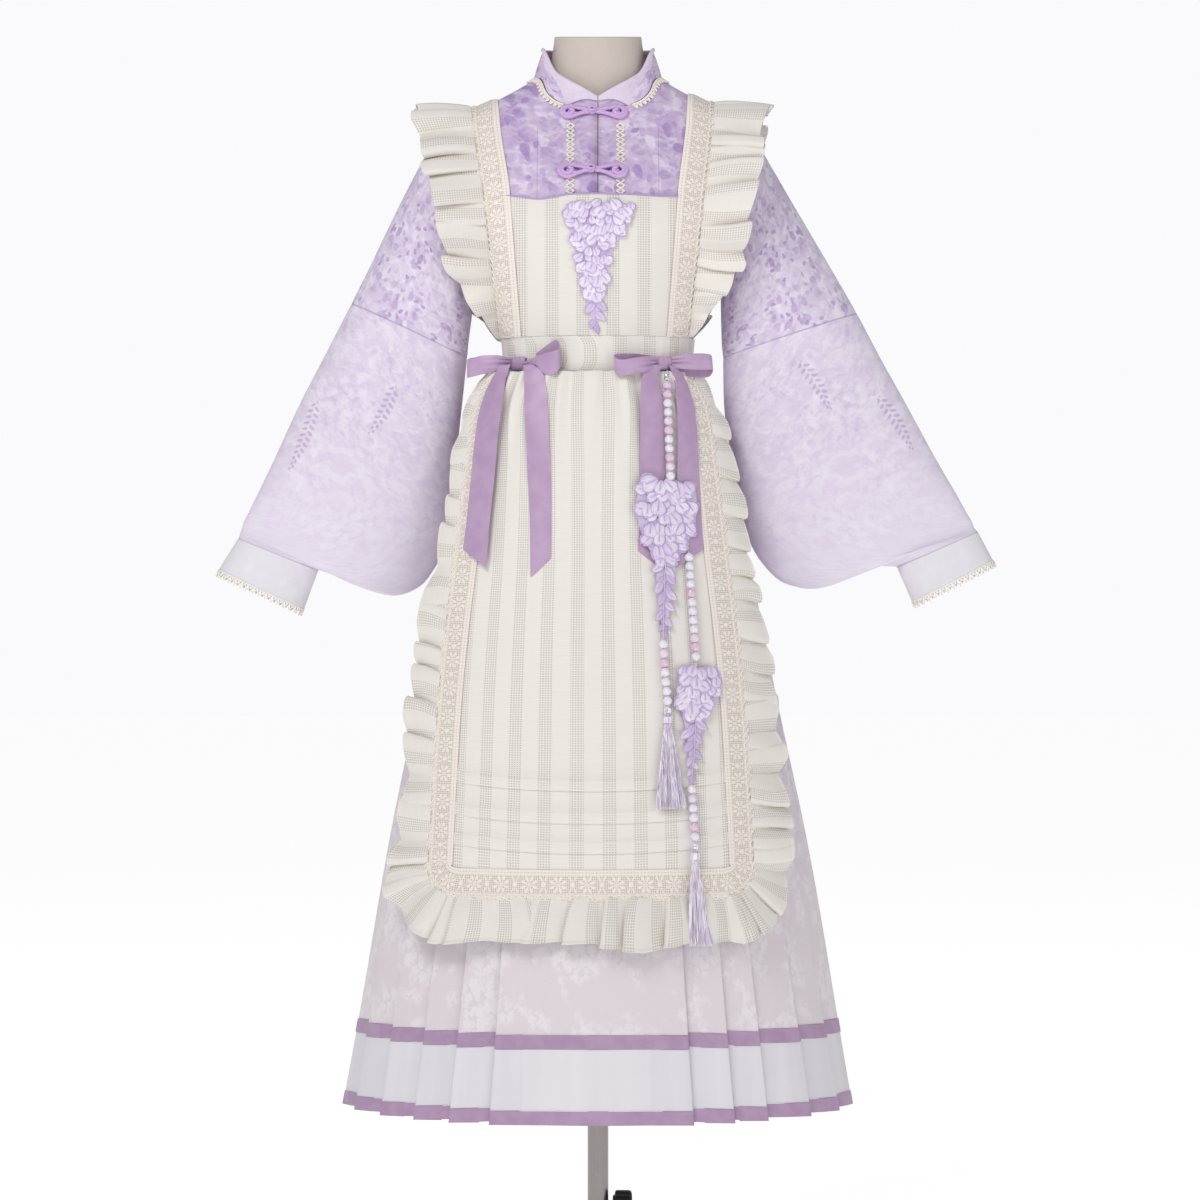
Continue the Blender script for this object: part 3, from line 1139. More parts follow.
def makeStand():
    radius, rim, height, crown, bore, outer, flange, top, pole, low = standLook.values()
    plate = [(0.01, 0), (radius - 2, 0), (radius - 0.5, 0.6), (radius, 2), (radius, rim - 2.5),
             (radius - 0.7, rim - 0.8), (radius - 3, rim)]
    plate += [(lerp(radius - 3, crown, part), lerp(rim, height, math.sin(part * quarter)))
              for part in np.linspace(0.1, 1, 8)]
    plate += [(38, height), (0.01, height)]
    turnedPiece("base_plate", plate, enamel, "stand_base", segments=160)
    seat = height + 0.3
    hub = [(bore, seat), (flange - 0.6, seat), (flange, seat + 0.6), (flange, 18.6), (flange - 0.5, 19.3), (24, 21.0),
           (outer + 3.2, 22.6), (outer + 1.2, 24.6), (outer, 28), (outer, 84), (outer + 0.6, 85), (outer + 0.6, 88),
           (outer, 89), (outer, top - 2), (outer - 0.6, top - 0.6), (outer - 2, top), (bore, top), (bore, seat)]
    turnedPiece("hub_sleeve", hub, enamel, "stand_hub")
    high = formLook["bottom"] - 0.3
    tube = [(0.01, low), (pole - 1, low), (pole, low + 1), (pole, 300), (pole, 600), (pole, high - 1),
            (pole - 1, high), (0.01, high)]
    turnedPiece("sliding_pole", tube, steel, "stand_pole", "pole")


# Stations along the knob are (part of its length, part of its radius)
knobLook = {"height": 96, "radius": 17, "start": 17.4, "end": 41, "lobes": 8, "groove": 2.2,
            "stations": [(0, 0.30), (0.02, 0.62), (0.10, 0.68), (0.14, 0.94), (0.2, 1), (0.8, 1), (0.88, 0.985),
                         (0.94, 0.93), (0.985, 0.8), (1.0, 0.6), (0.985, 0.45), (0.98, 0.02)]}


def makeKnob():
    look, turns = knobLook, np.linspace(0, tau, 129)
    lobes = look["groove"] * (0.5 + 0.5 * np.cos(turns * look["lobes"])) ** 3
    rings = []
    for part, scale in look["stations"]:
        reach = (look["radius"] - lobes * (1 if scale > 0.9 else 0.3)) * scale
        x = lerp(look["start"], look["end"], part) + 0 * turns
        rings.append(np.stack([x, reach * np.cos(turns), look["height"] + reach * np.sin(turns)], -1))
    centre = np.array([look["start"], 0, look["height"]])
    grid = np.array([centre + (rings[0] - centre) * 0.02] + rings)
    knob = skinPiece("grip_knob", grid, clothUv(grid), blackPlastic, caps=(0, len(grid) - 1))
    knob.data.set_sharp_from_angle(angle=math.radians(40))
    settle(knob, "clamp_knob", "knob")


makeForm()
makeStand()
makeKnob()
print("form and stand made")


# The bodice: two fronts that meet edge to edge and a back, cut off at the armholes, with shaped seams
bodiceLook = {"thickness": 1.2, "slit": 0.35, "frontSeam": 72, "backSeam": 66, "groove": 0.9,
              "low": 1112.4, "shoulder": 1392}


# Columns of (angle, height, lift) all round. Each quarter of the oval runs to its seam in 9 columns and on in 9 more.
def bodiceGrid():
    look = bodiceLook
    heights = look["low"] + (look["shoulder"] - look["low"]) * np.linspace(0, 1, 40)
    upper = np.linspace(0, 1, 13)[1:]
    grid = []
    for start, seamX, side in ((-quarter, look["frontSeam"], -1), (0, look["backSeam"], 1),
                               (quarter, -look["backSeam"], 1), (2 * quarter, -look["frontSeam"], -1)):
        seams = [float(dress.angleAt(float(seamX), z, side)) for z in [*heights, *[look["shoulder"]] * len(upper)]]
        seams = [seam + tau if seam < start - 1e-6 else seam for seam in seams]
        for half in range(2):
            for step in np.linspace(0, 1, 10)[:-1]:
                rows = []
                for k, seam in enumerate(seams):
                    angle = lerp(seam, start + quarter, step) if half else lerp(start, seam, step)
                    if k < len(heights):
                        z = heights[k]
                    else:
                        z = lerp(look["shoulder"], float(neckSeam(angle)) - 0.2, upper[k - len(heights)])
                    rows.append((angle, z, -look["groove"] if half and step == 0 else 0.0))
                grid.append(rows)
    grid.append([(3 * quarter, z, lift) for _, z, lift in grid[0]])
    return np.moveaxis(np.array(grid), -1, 0).swapaxes(1, 2)


def makeBodice():
    angle, z, lift = bodiceGrid()
    slit = bodiceLook["slit"] / 2 / 112
    angle[:, 0] += slit
    angle[:, -1] -= slit
    grid = dress.at(angle, z, lift)
    faces, uvs = gridFaces(clothUv(grid, origin=grid.shape[1] // 2))
    bodice = newPiece("dress_bodice", grid.reshape(-1, 3), faces.tolist(), uvs, bodicePrint)
    shape = bmesh.new()
    shape.from_mesh(bodice.data)
    for side in (-1, 1):
        plane = Vector((side * armholeX(1232) * mm, 0, 1.232))
        outward = Vector((side, 0, -armhole["lean"])).normalized()
        near = [f for f in shape.faces if f.calc_center_median().z > 1.165]
        geometry = list(dict.fromkeys(g for f in near for g in (*f.verts, *f.edges, f)))
        bmesh.ops.bisect_plane(shape, geom=geometry, plane_co=plane, plane_no=outward, clear_outer=True)
    shape.to_mesh(bodice.data)
    shape.free()
    solid = bodice.modifiers.new("cloth", "SOLIDIFY")
    solid.thickness, solid.offset = bodiceLook["thickness"] * mm, -1
    settle(bodice, ("bodice_front_left", "bodice_front_right", "bodice_back"))


makeBodice()

# The stand collar turns out along its front edges as two wings
collarLook = {
    "halfWidth": 65, "front": 61.5, "back": 62, "height": 1482, "power": 0.87, "fold": 2.2, "thickness": 1.1,
    "opening": 0.0008, "foldLine": 0.06,
    "wings": [(0, 2), (14, 2.5), (22, 9), (30, 22), (38, 31), (47, 34), (56, 34), (63, 29), (70, 21), (80, 11),
              (90, 5)],
    # Height of the fold line by its distance from the middle
    "crest": [(0, 1417), (20, 1429), (40, 1441), (49, 1448), (55, 1458), (60, 1470), (65, 1482)],
}


def makeCollar():
    look = collarLook
    angles = np.linspace(-quarter + look["opening"], 3 * quarter - look["opening"], 181)
    foot = dress.at(angles, neckSeam(angles) + 0.5)
    atFront = foot[:, 1] < 0
    depth = np.where(atFront, look["front"], look["back"])
    plan = np.arctan2(foot[:, 1] / depth, foot[:, 0] / look["halfWidth"])
    across = look["halfWidth"] * signedPower(np.cos(plan), look["power"])
    height = np.where(atFront, smoothTable(look["crest"])(np.abs(across))[0],
                      look["height"] + 8 * np.maximum(np.sin(plan), 0) ** 2)
    crest = np.stack([across, depth * signedPower(np.sin(plan), look["power"]), height], -1)
    out = np.stack([np.cos(plan), np.sin(plan), 0 * plan], -1)
    facing = np.degrees(np.arcsin(np.maximum(-np.sin(plan), 0)))
    length = np.where(atFront, smoothTable(look["wings"])(facing)[0], 2.0)
    rows, folds = [], []
    for part in np.linspace(0, 1, 9)[:-1]:
        rows.append(foot + (crest - foot) * part + out * math.sin(part * math.pi) * 0.8)
        folds.append(part * look["foldLine"] + 0 * plan)
    radius = look["fold"] / 2
    for turn in np.linspace(0, math.pi, 7):
        rows.append(crest + out * radius * (1 - math.cos(turn)) + np.array([0, 0, radius * math.sin(turn) - radius]))
        folds.append(look["foldLine"] + turn * radius * mm + 0 * plan)
    roll = rows[-1]
    for part in np.linspace(0, 1, 10)[1:]:
        lift = 0.12 * length * part ** 1.2 + 0.8 * np.sin(part * math.pi) * (length > 6)
        fall = np.maximum(length - radius, 0.6) * part
        rows.append(roll + out * lift[:, None] - fall[:, None] * (0, 0, 1.0))
        folds.append(look["foldLine"] + (3.5 + part * length) * mm)
    grid = np.array(rows)
    uv = np.stack([clothUv(grid)[..., 0], np.array(folds)], -1)
    cloth = clothPiece("stand_collar", grid, look["thickness"], collarPrint, "collar", uv=uv)


makeCollar()


# A line in eight samples to a stitch: its places, the directions at each of them, its half turns, and how far on
def stitched8(path, pitch, *directions):
    along = lengths(path)
    count = max(int(round(along[-1] / pitch)), 1)
    samples = np.linspace(0, along[-1], count * 8 + 1)
    ways = [unit(readAt(samples, along, way)) for way in directions]
    return readAt(samples, along, path), *ways, samples / along[-1] * count * math.pi


# Looped edging: a straight foot thread and a row of picots that stand out from it, some filled by a knot
def picotParts(path, outward, face, pitch, depth, thread, foot=True, fill=0.0):
    base, out, up, phase = stitched8(path, pitch, outward, face)
    tangent = unit(np.gradient(base, axis=0))
    loop = base + out * (depth * np.abs(np.sin(phase)) ** 0.75)[:, None]
    loop += tangent * (np.sin(phase * 2) * pitch * 0.16)[:, None] + up * (0.25 * np.cos(phase))[:, None]
    parts = [tubeParts(loop, thread, 5)]
    if foot:
        parts.append(tubeParts(base[::2] + out[::2] * 0.2, thread * 1.25, 5))
    if fill:
        knots = base[4::8] + out[4::8] * depth * fill
        for knot, direction in zip(knots, tangent[4::8] * 0.8):
            parts.append(tubeParts([knot - direction, knot, knot + direction], thread * 1.15, 5))
    return parts


def seamPath(start, end, drop, lift, count=60):
    angles = np.linspace(start, end, count)
    z = neckSeam(angles) - drop
    return dress.at(angles, z, lift), dress.normal(dress.at(angles, z))


trimLook = {"thread": 1.15, "neck": {"left": (-math.pi + 0.10, -math.pi + 1.34), "right": (-0.10, -1.34)},
            "placket": {"left": -32.5, "right": 26.5}}


def makeNeckTrims():
    for side, ends in trimLook["neck"].items():
        path, normal = seamPath(*ends, 1.2, 1.0)
        lower, _ = seamPath(*ends, 6.0, 1.0)
        parts = picotParts(path, lower - path, normal, 5.6, 6.4, trimLook["thread"], fill=0.45)
        tubePiece("neck_picot_" + side, parts, laceThread, "neck_lace_" + side)
    for side, x in trimLook["placket"].items():
        middle = dress.under(np.full(70, x), np.linspace(1384, 1297, 70), 0.9)
        normal = dress.normal(middle)
        across = unit(np.cross(normal, np.gradient(middle, axis=0)))
        parts = []
        for sign in (-1, 1):
            parts += picotParts(middle, across * sign, normal, 6.8, 4.7, trimLook["thread"], foot=False)
        for place, reach, rise in zip(middle[3::3], across[3::3] * 2.4, normal[3::3] * 0.4):
            parts.append(tubeParts([place - reach, place + rise, place + reach], 0.4, 4))
        tubePiece("placket_picot_" + side, parts, laceThread, "placket_lace_" + side)


makeNeckTrims()

# Frogs: a cord coiled into a teardrop on each side, a knot on one and a loop on the other
frogs = {"upper": {"z": 1399, "half": 8.4, "lift": 1.0, "shift": -5},
         "lower": {"z": 1325, "half": 9.0, "lift": 2.2, "shift": -6}}
frogCordRadius = 2.5
# The cord of the middle bar, as distances (from the knot, from the bar's axis), and the knot's rings (tilt, spin)
frogBar = smoothPath([[3.0, 1.4], [9, 1.9], [14, 3.0], [19, 4.2], [25, 3.4], [30, 1.0]], 16)
frogKnot = {"size": 3.9, "thread": 1.8, "rings": ((0.2, 0), (1.2, 0.9), (2.2, 2.0), (1.6, -0.8))}


# A cord from the knot round the outside of the teardrop and inwards in a coil
def frogPath(side, look):
    turns = np.linspace(0, 2.3 * tau, 130)
    radius = np.interp(turns / tau, [0, 1, 2, 2.3], [look["half"] - 1.2, look["half"] - 1.8, 3.0, 1.4])
    toKnot = np.maximum(np.cos(turns), 0) ** 3
    reach = radius * 1.4 + toKnot * np.where(turns < tau * 1.15, 12.0, 0.0)
    u = 28.5 - reach * np.cos(turns)
    w = radius * np.sin(turns) * (1 - 0.35 * toKnot) - 1.5 * smoothStep(u, 12, 34)
    rise = np.interp(turns / tau, [0, 1, 1.4, 2, 2.3], [0, 0, 1.0, 1.8, 2.2])
    return dress.under(side * u + look["shift"], look["z"] + w, look["lift"] + frogCordRadius + rise)


def knotParts(knot):
    turn = np.linspace(0, tau, 21)[:-1]
    parts = []
    for tilt, spin in frogKnot["rings"]:
        x, y, z = np.cos(turn), np.sin(turn) * math.cos(tilt) * 0.7, np.sin(turn) * math.sin(tilt)
        ring = np.stack([x * math.cos(spin) - z * math.sin(spin), y, x * math.sin(spin) + z * math.cos(spin)], -1)
        parts.append(tubeParts(knot + ring * frogKnot["size"], frogKnot["thread"], 7, closed=True))
    return parts


for level, look in frogs.items():
    for side, name in ((-1, "button"), (1, "loop")):
        parts = [tubeParts(frogPath(side, look), frogCordRadius, 8)]
        for way in (-1, 1):
            bar = dress.under(side * frogBar[:, 0] + look["shift"], look["z"] + way * frogBar[:, 1],
                              look["lift"] + frogCordRadius)
            parts.append(tubeParts(bar, frogCordRadius * 0.95, 8))
        if side < 0:
            knot = [np.array([v]) for v in (look["shift"] - 2.0, look["z"] + 0.5, look["lift"] + 4.0)]
            parts += knotParts(dress.under(*knot)[0])
        tubePiece(f"frog_{level}_{name}_cord", parts, frogCord, f"frog_{level}_{name}")
print("bodice, collar and frogs made")

# Sleeves: rows of outer edge, inner edge and half the depth, from the shoulder to the cuff. The cloth changes at
# the third row, and the cuff is between the last two.
sleeves = {
    "left": {"side": -1, "sprigs": ((-0.241, 1.076, -0.273, 1.017), (-0.336, 1.058, -0.369, 0.975)), "rows": [
        (206, 1356, 149, 1203, 62), (252, 1266, 152, 1155, 58), (296, 1176, 157, 1111, 50),
        (325, 1119, 163, 1055, 46), (355, 1061, 169, 993, 42), (391, 984, 176, 917, 36), (412, 940, 184, 882, 30),
        (419, 925, 196, 859, 26), (424, 915, 214, 837, 22), (426, 909, 244, 826, 20), (428, 904, 280, 834, 20),
        (430, 899, 317, 851, 22), (431, 895, 336, 857, 24), (454, 858, 353, 811, 26)]},
    "right": {"side": 1, "sprigs": ((0.239, 1.105, 0.277, 1.046), (0.334, 1.064, 0.376, 0.999)), "rows": [
        (199, 1356, 147, 1203, 62), (251, 1266, 148, 1155, 58), (311, 1164, 150, 1111, 50),
        (338, 1113, 152, 1055, 46), (367, 1061, 158, 1001, 42), (410, 983, 172, 924, 36), (434, 941, 186, 883, 30),
        (443, 924, 203, 858, 26), (448, 916, 224, 841, 22), (450, 911, 256, 834, 20), (452, 907, 288, 841, 20),
        (454, 905, 326, 862, 22), (455, 903, 359, 861, 24), (473, 869, 377, 820, 26)]},
}
sleeveLook = {"thickness": 1.2, "cuffSwell": 0.6, "seam": 0.8}
sleeveTurns = np.linspace(0, tau, 97)


# Reads a sleeve's rows by the distance down it, and says how long it is
def sleeveTable(rows):
    rows = np.array(rows, float)
    along = (lengths(rows[:, :2]) + lengths(rows[:, 2:4])) / 2
    return smoothTable(np.column_stack([along, rows])), along[-1]


# Soft troughs and ridges strewn over a sleeve, at each distance down it and each angle
def creases(along, count, length, deep, seed):
    draw = np.random.default_rng(seed)
    total = 0
    for _ in range(count):
        place, turn, depth = draw.uniform(0.15, 0.85) * length, draw.uniform(0, tau), draw.uniform(0.5, 1.0) * deep
        depth, run, width, slant = (depth * draw.choice([-1, 1]), draw.uniform(35, 80), draw.uniform(0.25, 0.6),
                                    draw.uniform(-0.006, 0.006))
        fall = along[:, None] - place
        apart = (sleeveTurns - turn - slant * fall + math.pi) % tau - math.pi
        total = total - depth * np.exp(-(fall / run) ** 2 - (apart / width) ** 2)
    return total


def sleeveRing(side, sizes, swell=0.0, bumps=np.zeros((1, 1))):
    outerX, outerZ, innerX, innerZ, halfDepth = (v[:, None] for v in sizes)
    outer = np.stack([side * outerX, 0 * outerX, outerZ], -1)
    inner = np.stack([side * innerX, 0 * innerX, innerZ], -1)
    middle = (outer + inner) / 2
    reach = np.linalg.norm(outer - middle, axis=-1, keepdims=True)
    bumps = bumps[..., None]
    cosine, sine = np.cos(sleeveTurns)[None, :, None], np.sin(sleeveTurns)[None, :, None]
    grid = middle + (outer - middle) / reach * (reach + swell + bumps * 0.3) * cosine
    return grid + np.array([0, 1.0, 0]) * (halfDepth[..., None] + swell + bumps) * sine


def armholeRing(side):
    half = (armhole["top"] - armhole["bottom"]) / 2 - 1.2
    z = (armhole["top"] + armhole["bottom"]) / 2 + half * np.cos(sleeveTurns)
    width, front, back, power = dress.table(z)
    part = np.maximum(1 - (armholeX(z) / width) ** power, 0) ** (1 / power)
    depth = np.where(np.sin(sleeveTurns) < 0, front, back) * part
    return np.stack([side * (armholeX(z) + 0.4), np.sign(np.sin(sleeveTurns)) * depth, z], -1)


def sleevePiece(name, grid, along, side, cloth, replaced):
    around = np.cumsum(np.linalg.norm(np.diff(grid, axis=1), axis=2), 1)
    u = np.concatenate([np.zeros((len(grid), 1)), around], 1)
    uv = uvOf(u - u[:, u.shape[1] // 4][:, None], np.asarray(along, float)[:, None])
    if side > 0:
        grid, uv = grid[:, ::-1], uv[:, ::-1]
    return clothPiece(name, grid, sleeveLook["thickness"], cloth, replaced, closed=True, uv=uv)


def makeSleeve(name, sleeve):
    side = sleeve["side"]
    upper, upperLength = sleeveTable(sleeve["rows"][:3])
    lower, lowerLength = sleeveTable(sleeve["rows"][2:-1])
    along = np.linspace(0, upperLength, 26)
    fade = smoothStep(along, upperLength, upperLength * 0.8)[:, None]
    rings = sleeveRing(side, upper(along), bumps=creases(along, 14, upperLength, 3.0, 5 + side) * fade)
    start = armholeRing(side)
    lead = []
    for part in np.linspace(0, 1, 9)[:-1]:
        ring = start * (1 - part) + rings[0] * part
        lead.append(ring + unit(ring - ring.mean(0)) * math.sin(part * math.pi) * 2.0)
    gap = float(np.linalg.norm(start.mean(0) - rings[0].mean(0)))
    grid = np.concatenate([lead, rings])
    grid[-1] += unit(grid[-2].mean(0) - grid[-1]) * 0.5
    total = gap + upperLength
    cloth = sleevePrint(f"sleeve print {name} upper", 0.0, 0.42, 0.85, 0.5, 0.9, total * mm)
    where = np.concatenate([np.linspace(-gap, 0, 9)[:-1], along]) + gap
    piece = sleevePiece(f"sleeve_top_{name}", grid, where, side, cloth, f"sleeve_upper_{name}")

    along = np.linspace(0, lowerLength, 60)
    fade = smoothStep(along, 0, 30) * smoothStep(along, lowerLength, lowerLength - 30)
    seam = np.exp(-((np.abs(sleeveTurns - math.pi)) / 0.05) ** 2) * sleeveLook["seam"]
    bumps = creases(along, 22, lowerLength, 3.2, 15 + side) * fade[:, None]
    grid = sleeveRing(side, lower(along), bumps=bumps + seam * smoothStep(along, 20, 60)[:, None])
    grid[0] += unit(grid[1].mean(0) - grid[0]) * 0.5
    cloth = sleevePrint(f"sleeve print {name} lower", 0.25, 0.58, 0.5, 0.1, 0.35, total * mm, sleeve["sprigs"])
    piece = sleevePiece(f"sleeve_bag_{name}", grid, along + total, side, cloth,
                        f"sleeve_lower_{name}")

    rows = np.array(sleeve["rows"][-2:], float)
    parts = np.linspace(0.002, 1, 9)
    sizes = np.array([rows[0] * (1 - p) + rows[1] * p for p in parts]).T
    total += lowerLength
    grid = sleeveRing(side, sizes, swell=sleeveLook["cuffSwell"])
    cloth = sleevePrint(f"cuff print {name}", 0.0, 9.0, 0.05, 0.0, 0.0, total * mm, ground=(0.868, 0.855, 0.878))
    length = np.linalg.norm(rows[1][:2] - rows[0][:2])
    piece = sleevePiece(f"sleeve_cuff_{name}", grid, total + parts * length, side, cloth,
                        f"cuff_{name}")
    x, z = rows[1][:2] + rows[1][2:4] - rows[0][:2] - rows[0][2:4]
    outward = np.zeros_like(grid[-1]) + unit(np.array([side * x, 0, z]))
    face = unit(grid[-1] - grid[-1].mean(0))
    picots = picotParts(grid[-1] + outward * 0.9, outward, face, 8.2, 8.6, 0.85)
    tubePiece(f"cuff_picot_{name}", picots, laceThread, f"cuff_lace_{name}")


for name, sleeve in sleeves.items():
    makeSleeve(name, sleeve)
print("sleeves made")

# The skirt: knife pleats that fold away from the centre panel, one length of cloth folded round the waist
skirtLook = {
    "left": [24, 34, 44, 56, 70, 84, 102, 120, 138, 157], "right": [21, 31, 40, 54, 68, 84, 102, 120, 138, 157],
    "underlay": 34, "thickness": 1.0, "waist": 1111.7, "ribbon": 16, "upperRibbon": 324, "hem": 222, "jog": 3.6,
}
pleatDepth = smoothTable([(222, 6), (324, 5.5), (700, 4), (979, 2.4), (1112, 0.8)])


# Columns of the pleats at one side: angle in degrees from the front, depth below the surface, share of the
# underlay and share of the jog. Each pleat's edge hangs a little lower than the cloth it covers.
def pleatSide(folds, sign):
    rows = []
    previous = 12.0
    for i, fold in enumerate(folds):
        if i:
            rows += [(lerp(previous + 0.8, fold, part), 1 - part, 0, part) for part in (0.15, 0.35, 0.55, 0.75, 0.92)]
        rows += [(fold - 0.5, 0.5 / (fold - previous) if i else 0, 0, 0.97), (fold, 0.02, 0, 1),
                 (fold + 0.12, 0.14, 0, 1), (fold - 0.1, 0.3, 0.02, 1)]
        rows += [(fold, 0.38 + share * 0.62 * (1 if i else 0.3), share, 1 - share * 0.5)
                 for share in (0.3, 0.65, 0.97)]
        rows += [(fold, 0.62 + (0.55 if i else 0.2), 1.0, 0.5)]
        rows += [(fold, 1.02 + share * 0.32, share, share * 0.5) for share in (0.9, 0.6, 0.3)]
        rows += [(fold + 0.9, 1.0, 0, 0)]
        previous = fold
    rows += [(lerp(previous, 169, part), 1 - part, 0, part * 0.5) for part in (0.2, 0.5, 0.8)]
    return [(sign * a, d, s * sign, u) for a, d, s, u in rows]


def plainColumns(*angles):
    return [(angle, 0, 0, 0.5) for angle in angles]


pleatColumns = np.array(
    plainColumns(0, 5, 10) + pleatSide(skirtLook["right"], 1) + plainColumns(169, 174, 180, 186, 191)
    + [(a + 360, d, s, u) for a, d, s, u in reversed(pleatSide(skirtLook["left"], -1))]
    + plainColumns(350, 355), float)


def skirtGrid(heights, lift=0.0):
    turn, low, share, jog = pleatColumns.T
    z = heights[:, None] + 0 * turn
    half, front, back, _ = dress.table(z)
    angle = np.radians(turn - 90) + 0 * z
    reach = np.hypot(half * np.sin(angle), np.where(np.sin(angle) < 0, front, back) * np.cos(angle))
    under = skirtLook["underlay"] * np.interp(heights, [222, 1112], [1, 0.32])[:, None]
    angle = angle - share * under / np.maximum(reach, 60)
    soft = 0.8 * np.sin(angle * 7 + heights[:, None] / 90) * smoothStep(heights, 1050, 500)[:, None]
    grid = dress.at(angle, z, lift - low * pleatDepth(z)[0] - soft - 0.8)
    grid[..., 2] -= skirtLook["jog"] * (jog - 0.5) * smoothStep(heights, 900, 330)[:, None]
    return np.concatenate([grid, grid[:, :1]], 1)


def skirtPiece(name, heights, lift, thickness, cloth, replaced):
    grid = skirtGrid(heights, lift)
    piece = clothPiece(name, grid, thickness, cloth, replaced, closed=True)
    print(name, "area", round(sheetArea(grid), 3))


def makeSkirt():
    look = skirtLook
    top, hem, ribbon = look["upperRibbon"], look["hem"], look["ribbon"]
    heights = np.concatenate([np.linspace(top + 0.3, 560, 18), np.linspace(575, look["waist"], 38)])
    skirtPiece("pleated_skirt", heights, 0.0, look["thickness"], skirtPrint,
               ("skirt_front", "skirt_back"))
    for key, low in (("upper", top - ribbon), ("lower", hem)):
        skirtPiece(f"hem_ribbon_{key}", np.linspace(low, low + ribbon, 5), 0.9, 1.4, hemRibbon,
                   f"ribbon_{key}")
    heights = np.linspace(hem + ribbon + 0.3, top - ribbon - 0.3, 12)
    skirtPiece("sheer_flounce", heights, 0.0, 0.6, organza, "flounce")


makeSkirt()
print("skirt made")


# The apron. Its cream cloth has mesh stripes, its straps and border are crochet with a looped braid.
apronLook = {
    "lift": 1.0, "thickness": 1.0, "laceWidth": 34, "laceLift": 3.6, "laceThickness": 0.9, "bottom": 477,
    "top": 1090.1, "corner": 36, "ruffle": 51, "flatWidth": 400, "tucks": [600, 563, 529], "tuckHeight": 16,
    "drawnIn": 0.24,
    # Height, half width, and how far the frill reaches beyond it
    "reach": [(477, 189, 51), (600, 183, 51), (700, 177, 51), (787, 169, 45), (856, 161, 34), (979, 146, 28),
              (1040, 137, 24), (1091, 116, 14)],
}
reachAt = smoothTable(apronLook["reach"])
bibCloth = creamMaterial("bib cloth", start=0.0, dim=0.12)
apronCloth = creamMaterial("apron cloth", start=0.002)
ruffleCloth = creamMaterial("ruffle cloth", period=0.042, width=0.018, dim=0.1)
bandCloth = creamMaterial("waistband cloth", start=0.008)


# An open chain of two threads that cross, with knots where they are far apart, for braids
def chainParts(path, across, face, pitch, half, thread):
    base, side, up, phase = stitched8(path, pitch, across, face)
    parts = []
    for sign in (-1, 1):
        apart = side * (sign * half * np.sin(phase))[:, None]
        parts.append(tubeParts(base + apart + up * (sign * thread * 0.7 * np.cos(phase))[:, None], thread, 5))
    for k in range(4, len(base), 8):
        for sign in (-1, 1):
            centre = base[k] + side[k] * sign * half
            tangent = unit(base[min(k + 1, len(base) - 1)] - base[k - 1]) * 1.1
            parts.append(tubeParts([centre - tangent, centre + up[k] * 0.3, centre + tangent], thread * 1.2, 5))
    return parts


def makeWaistband():
    angles = np.linspace(-quarter, 3 * quarter, 241)
    heights = np.array([1091, 1091.8, *np.linspace(1093, 1131, 12), 1132.3, 1133])[:, None]
    pucker = 0.35 * np.sin(angles * 61) * np.sin((heights - 1091) / 42 * math.pi)
    stitch = -0.45 * (np.exp(-(heights - 1094.5) ** 2) + np.exp(-(heights - 1129.5) ** 2))
    grid = dress.at(angles, heights, 2.5 + pucker + stitch)
    band = clothPiece("apron_waistband", grid, 1.2, bandCloth, "waistband", closed=True)


# The straps' edges by the share of the way from the shoulder down to the waist. The right strap sits nearer
# the middle.
strapEdges = smoothTable([(0, 120, 152), (0.3, 115, 146), (0.6, 102, 133), (0.8, 95.5, 124), (1, 88.5, 113)])
strapShift = smoothTable([(0, 13), (0.3, 11), (0.6, 9), (1, 9)])
ridgeHeight = smoothTable([(194, 1380), (182, 1392), (153, 1405), (118, 1421), (78, 1444), (66, 1454)])
strapFoot = 1133.3


# A place on the dress: part runs from -1, the front waist, over 0, the shoulder, to 1, the back waist
def overShoulder(side, x, part):
    x = x - strapShift(np.abs(part))[0] * (side > 0)
    z = lerp(ridgeHeight(np.maximum(x, 106 if side > 0 else 118))[0], strapFoot, np.abs(part) ** 1.6)
    half, _, _, power = dress.table(z)
    return np.where(part < 0, -1, 1) * np.arccos(signedPower(np.clip(side * x / half, -1, 1), power / 2)), z


def strapGrid(side, lift, columns, count=140):
    part = np.linspace(-1, 1, count)
    (angle, z), (toAngle, toZ) = (overShoulder(side, x, part) for x in strapEdges(np.abs(part)))
    f = np.linspace(0, 1, columns)[None]
    angle = angle[:, None] * (1 - f) + toAngle[:, None] * f
    z = z[:, None] * (1 - f) + toZ[:, None] * f
    # Above the bib the inner edge lies down on the bodice
    low = 2.7 * smoothStep(z, 1292, 1304) * np.maximum(1 - f / 0.2, 0)
    return dress.at(angle, z, lift - low)


def crochetPiece(name, grid, replaced, flip):
    length = np.linalg.norm(np.diff(grid, axis=0), axis=2).mean(1)
    uv = uvOf(np.concatenate([[0], np.cumsum(length)])[:, None],
              np.linspace(0, apronLook["laceWidth"], grid.shape[1]))
    if flip:
        grid, uv = grid[:, ::-1], uv[:, ::-1]
    return clothPiece(name, grid, apronLook["laceThickness"], crochet, replaced, uv=uv)


# A gathered frill from its root to its lip: flat-topped folds of uneven width that lap over at their edges
frillLook = {"thickness": 0.8, "hem": 1.5, "full": 45.0}
# One fold across, as (part of its cloth, part of its pitch, height): it laps over the fold before it
foldProfile = smoothTable([(0, -0.02, 0.0), (0.07, -0.11, 0.35), (0.15, -0.11, 0.8), (0.24, 0.02, 1.0),
                           (0.46, 0.34, 0.9), (0.70, 0.66, 0.5), (0.87, 0.88, 0.14), (0.96, 0.98, 0.0),
                           (1.0, 0.98, 0.0)])


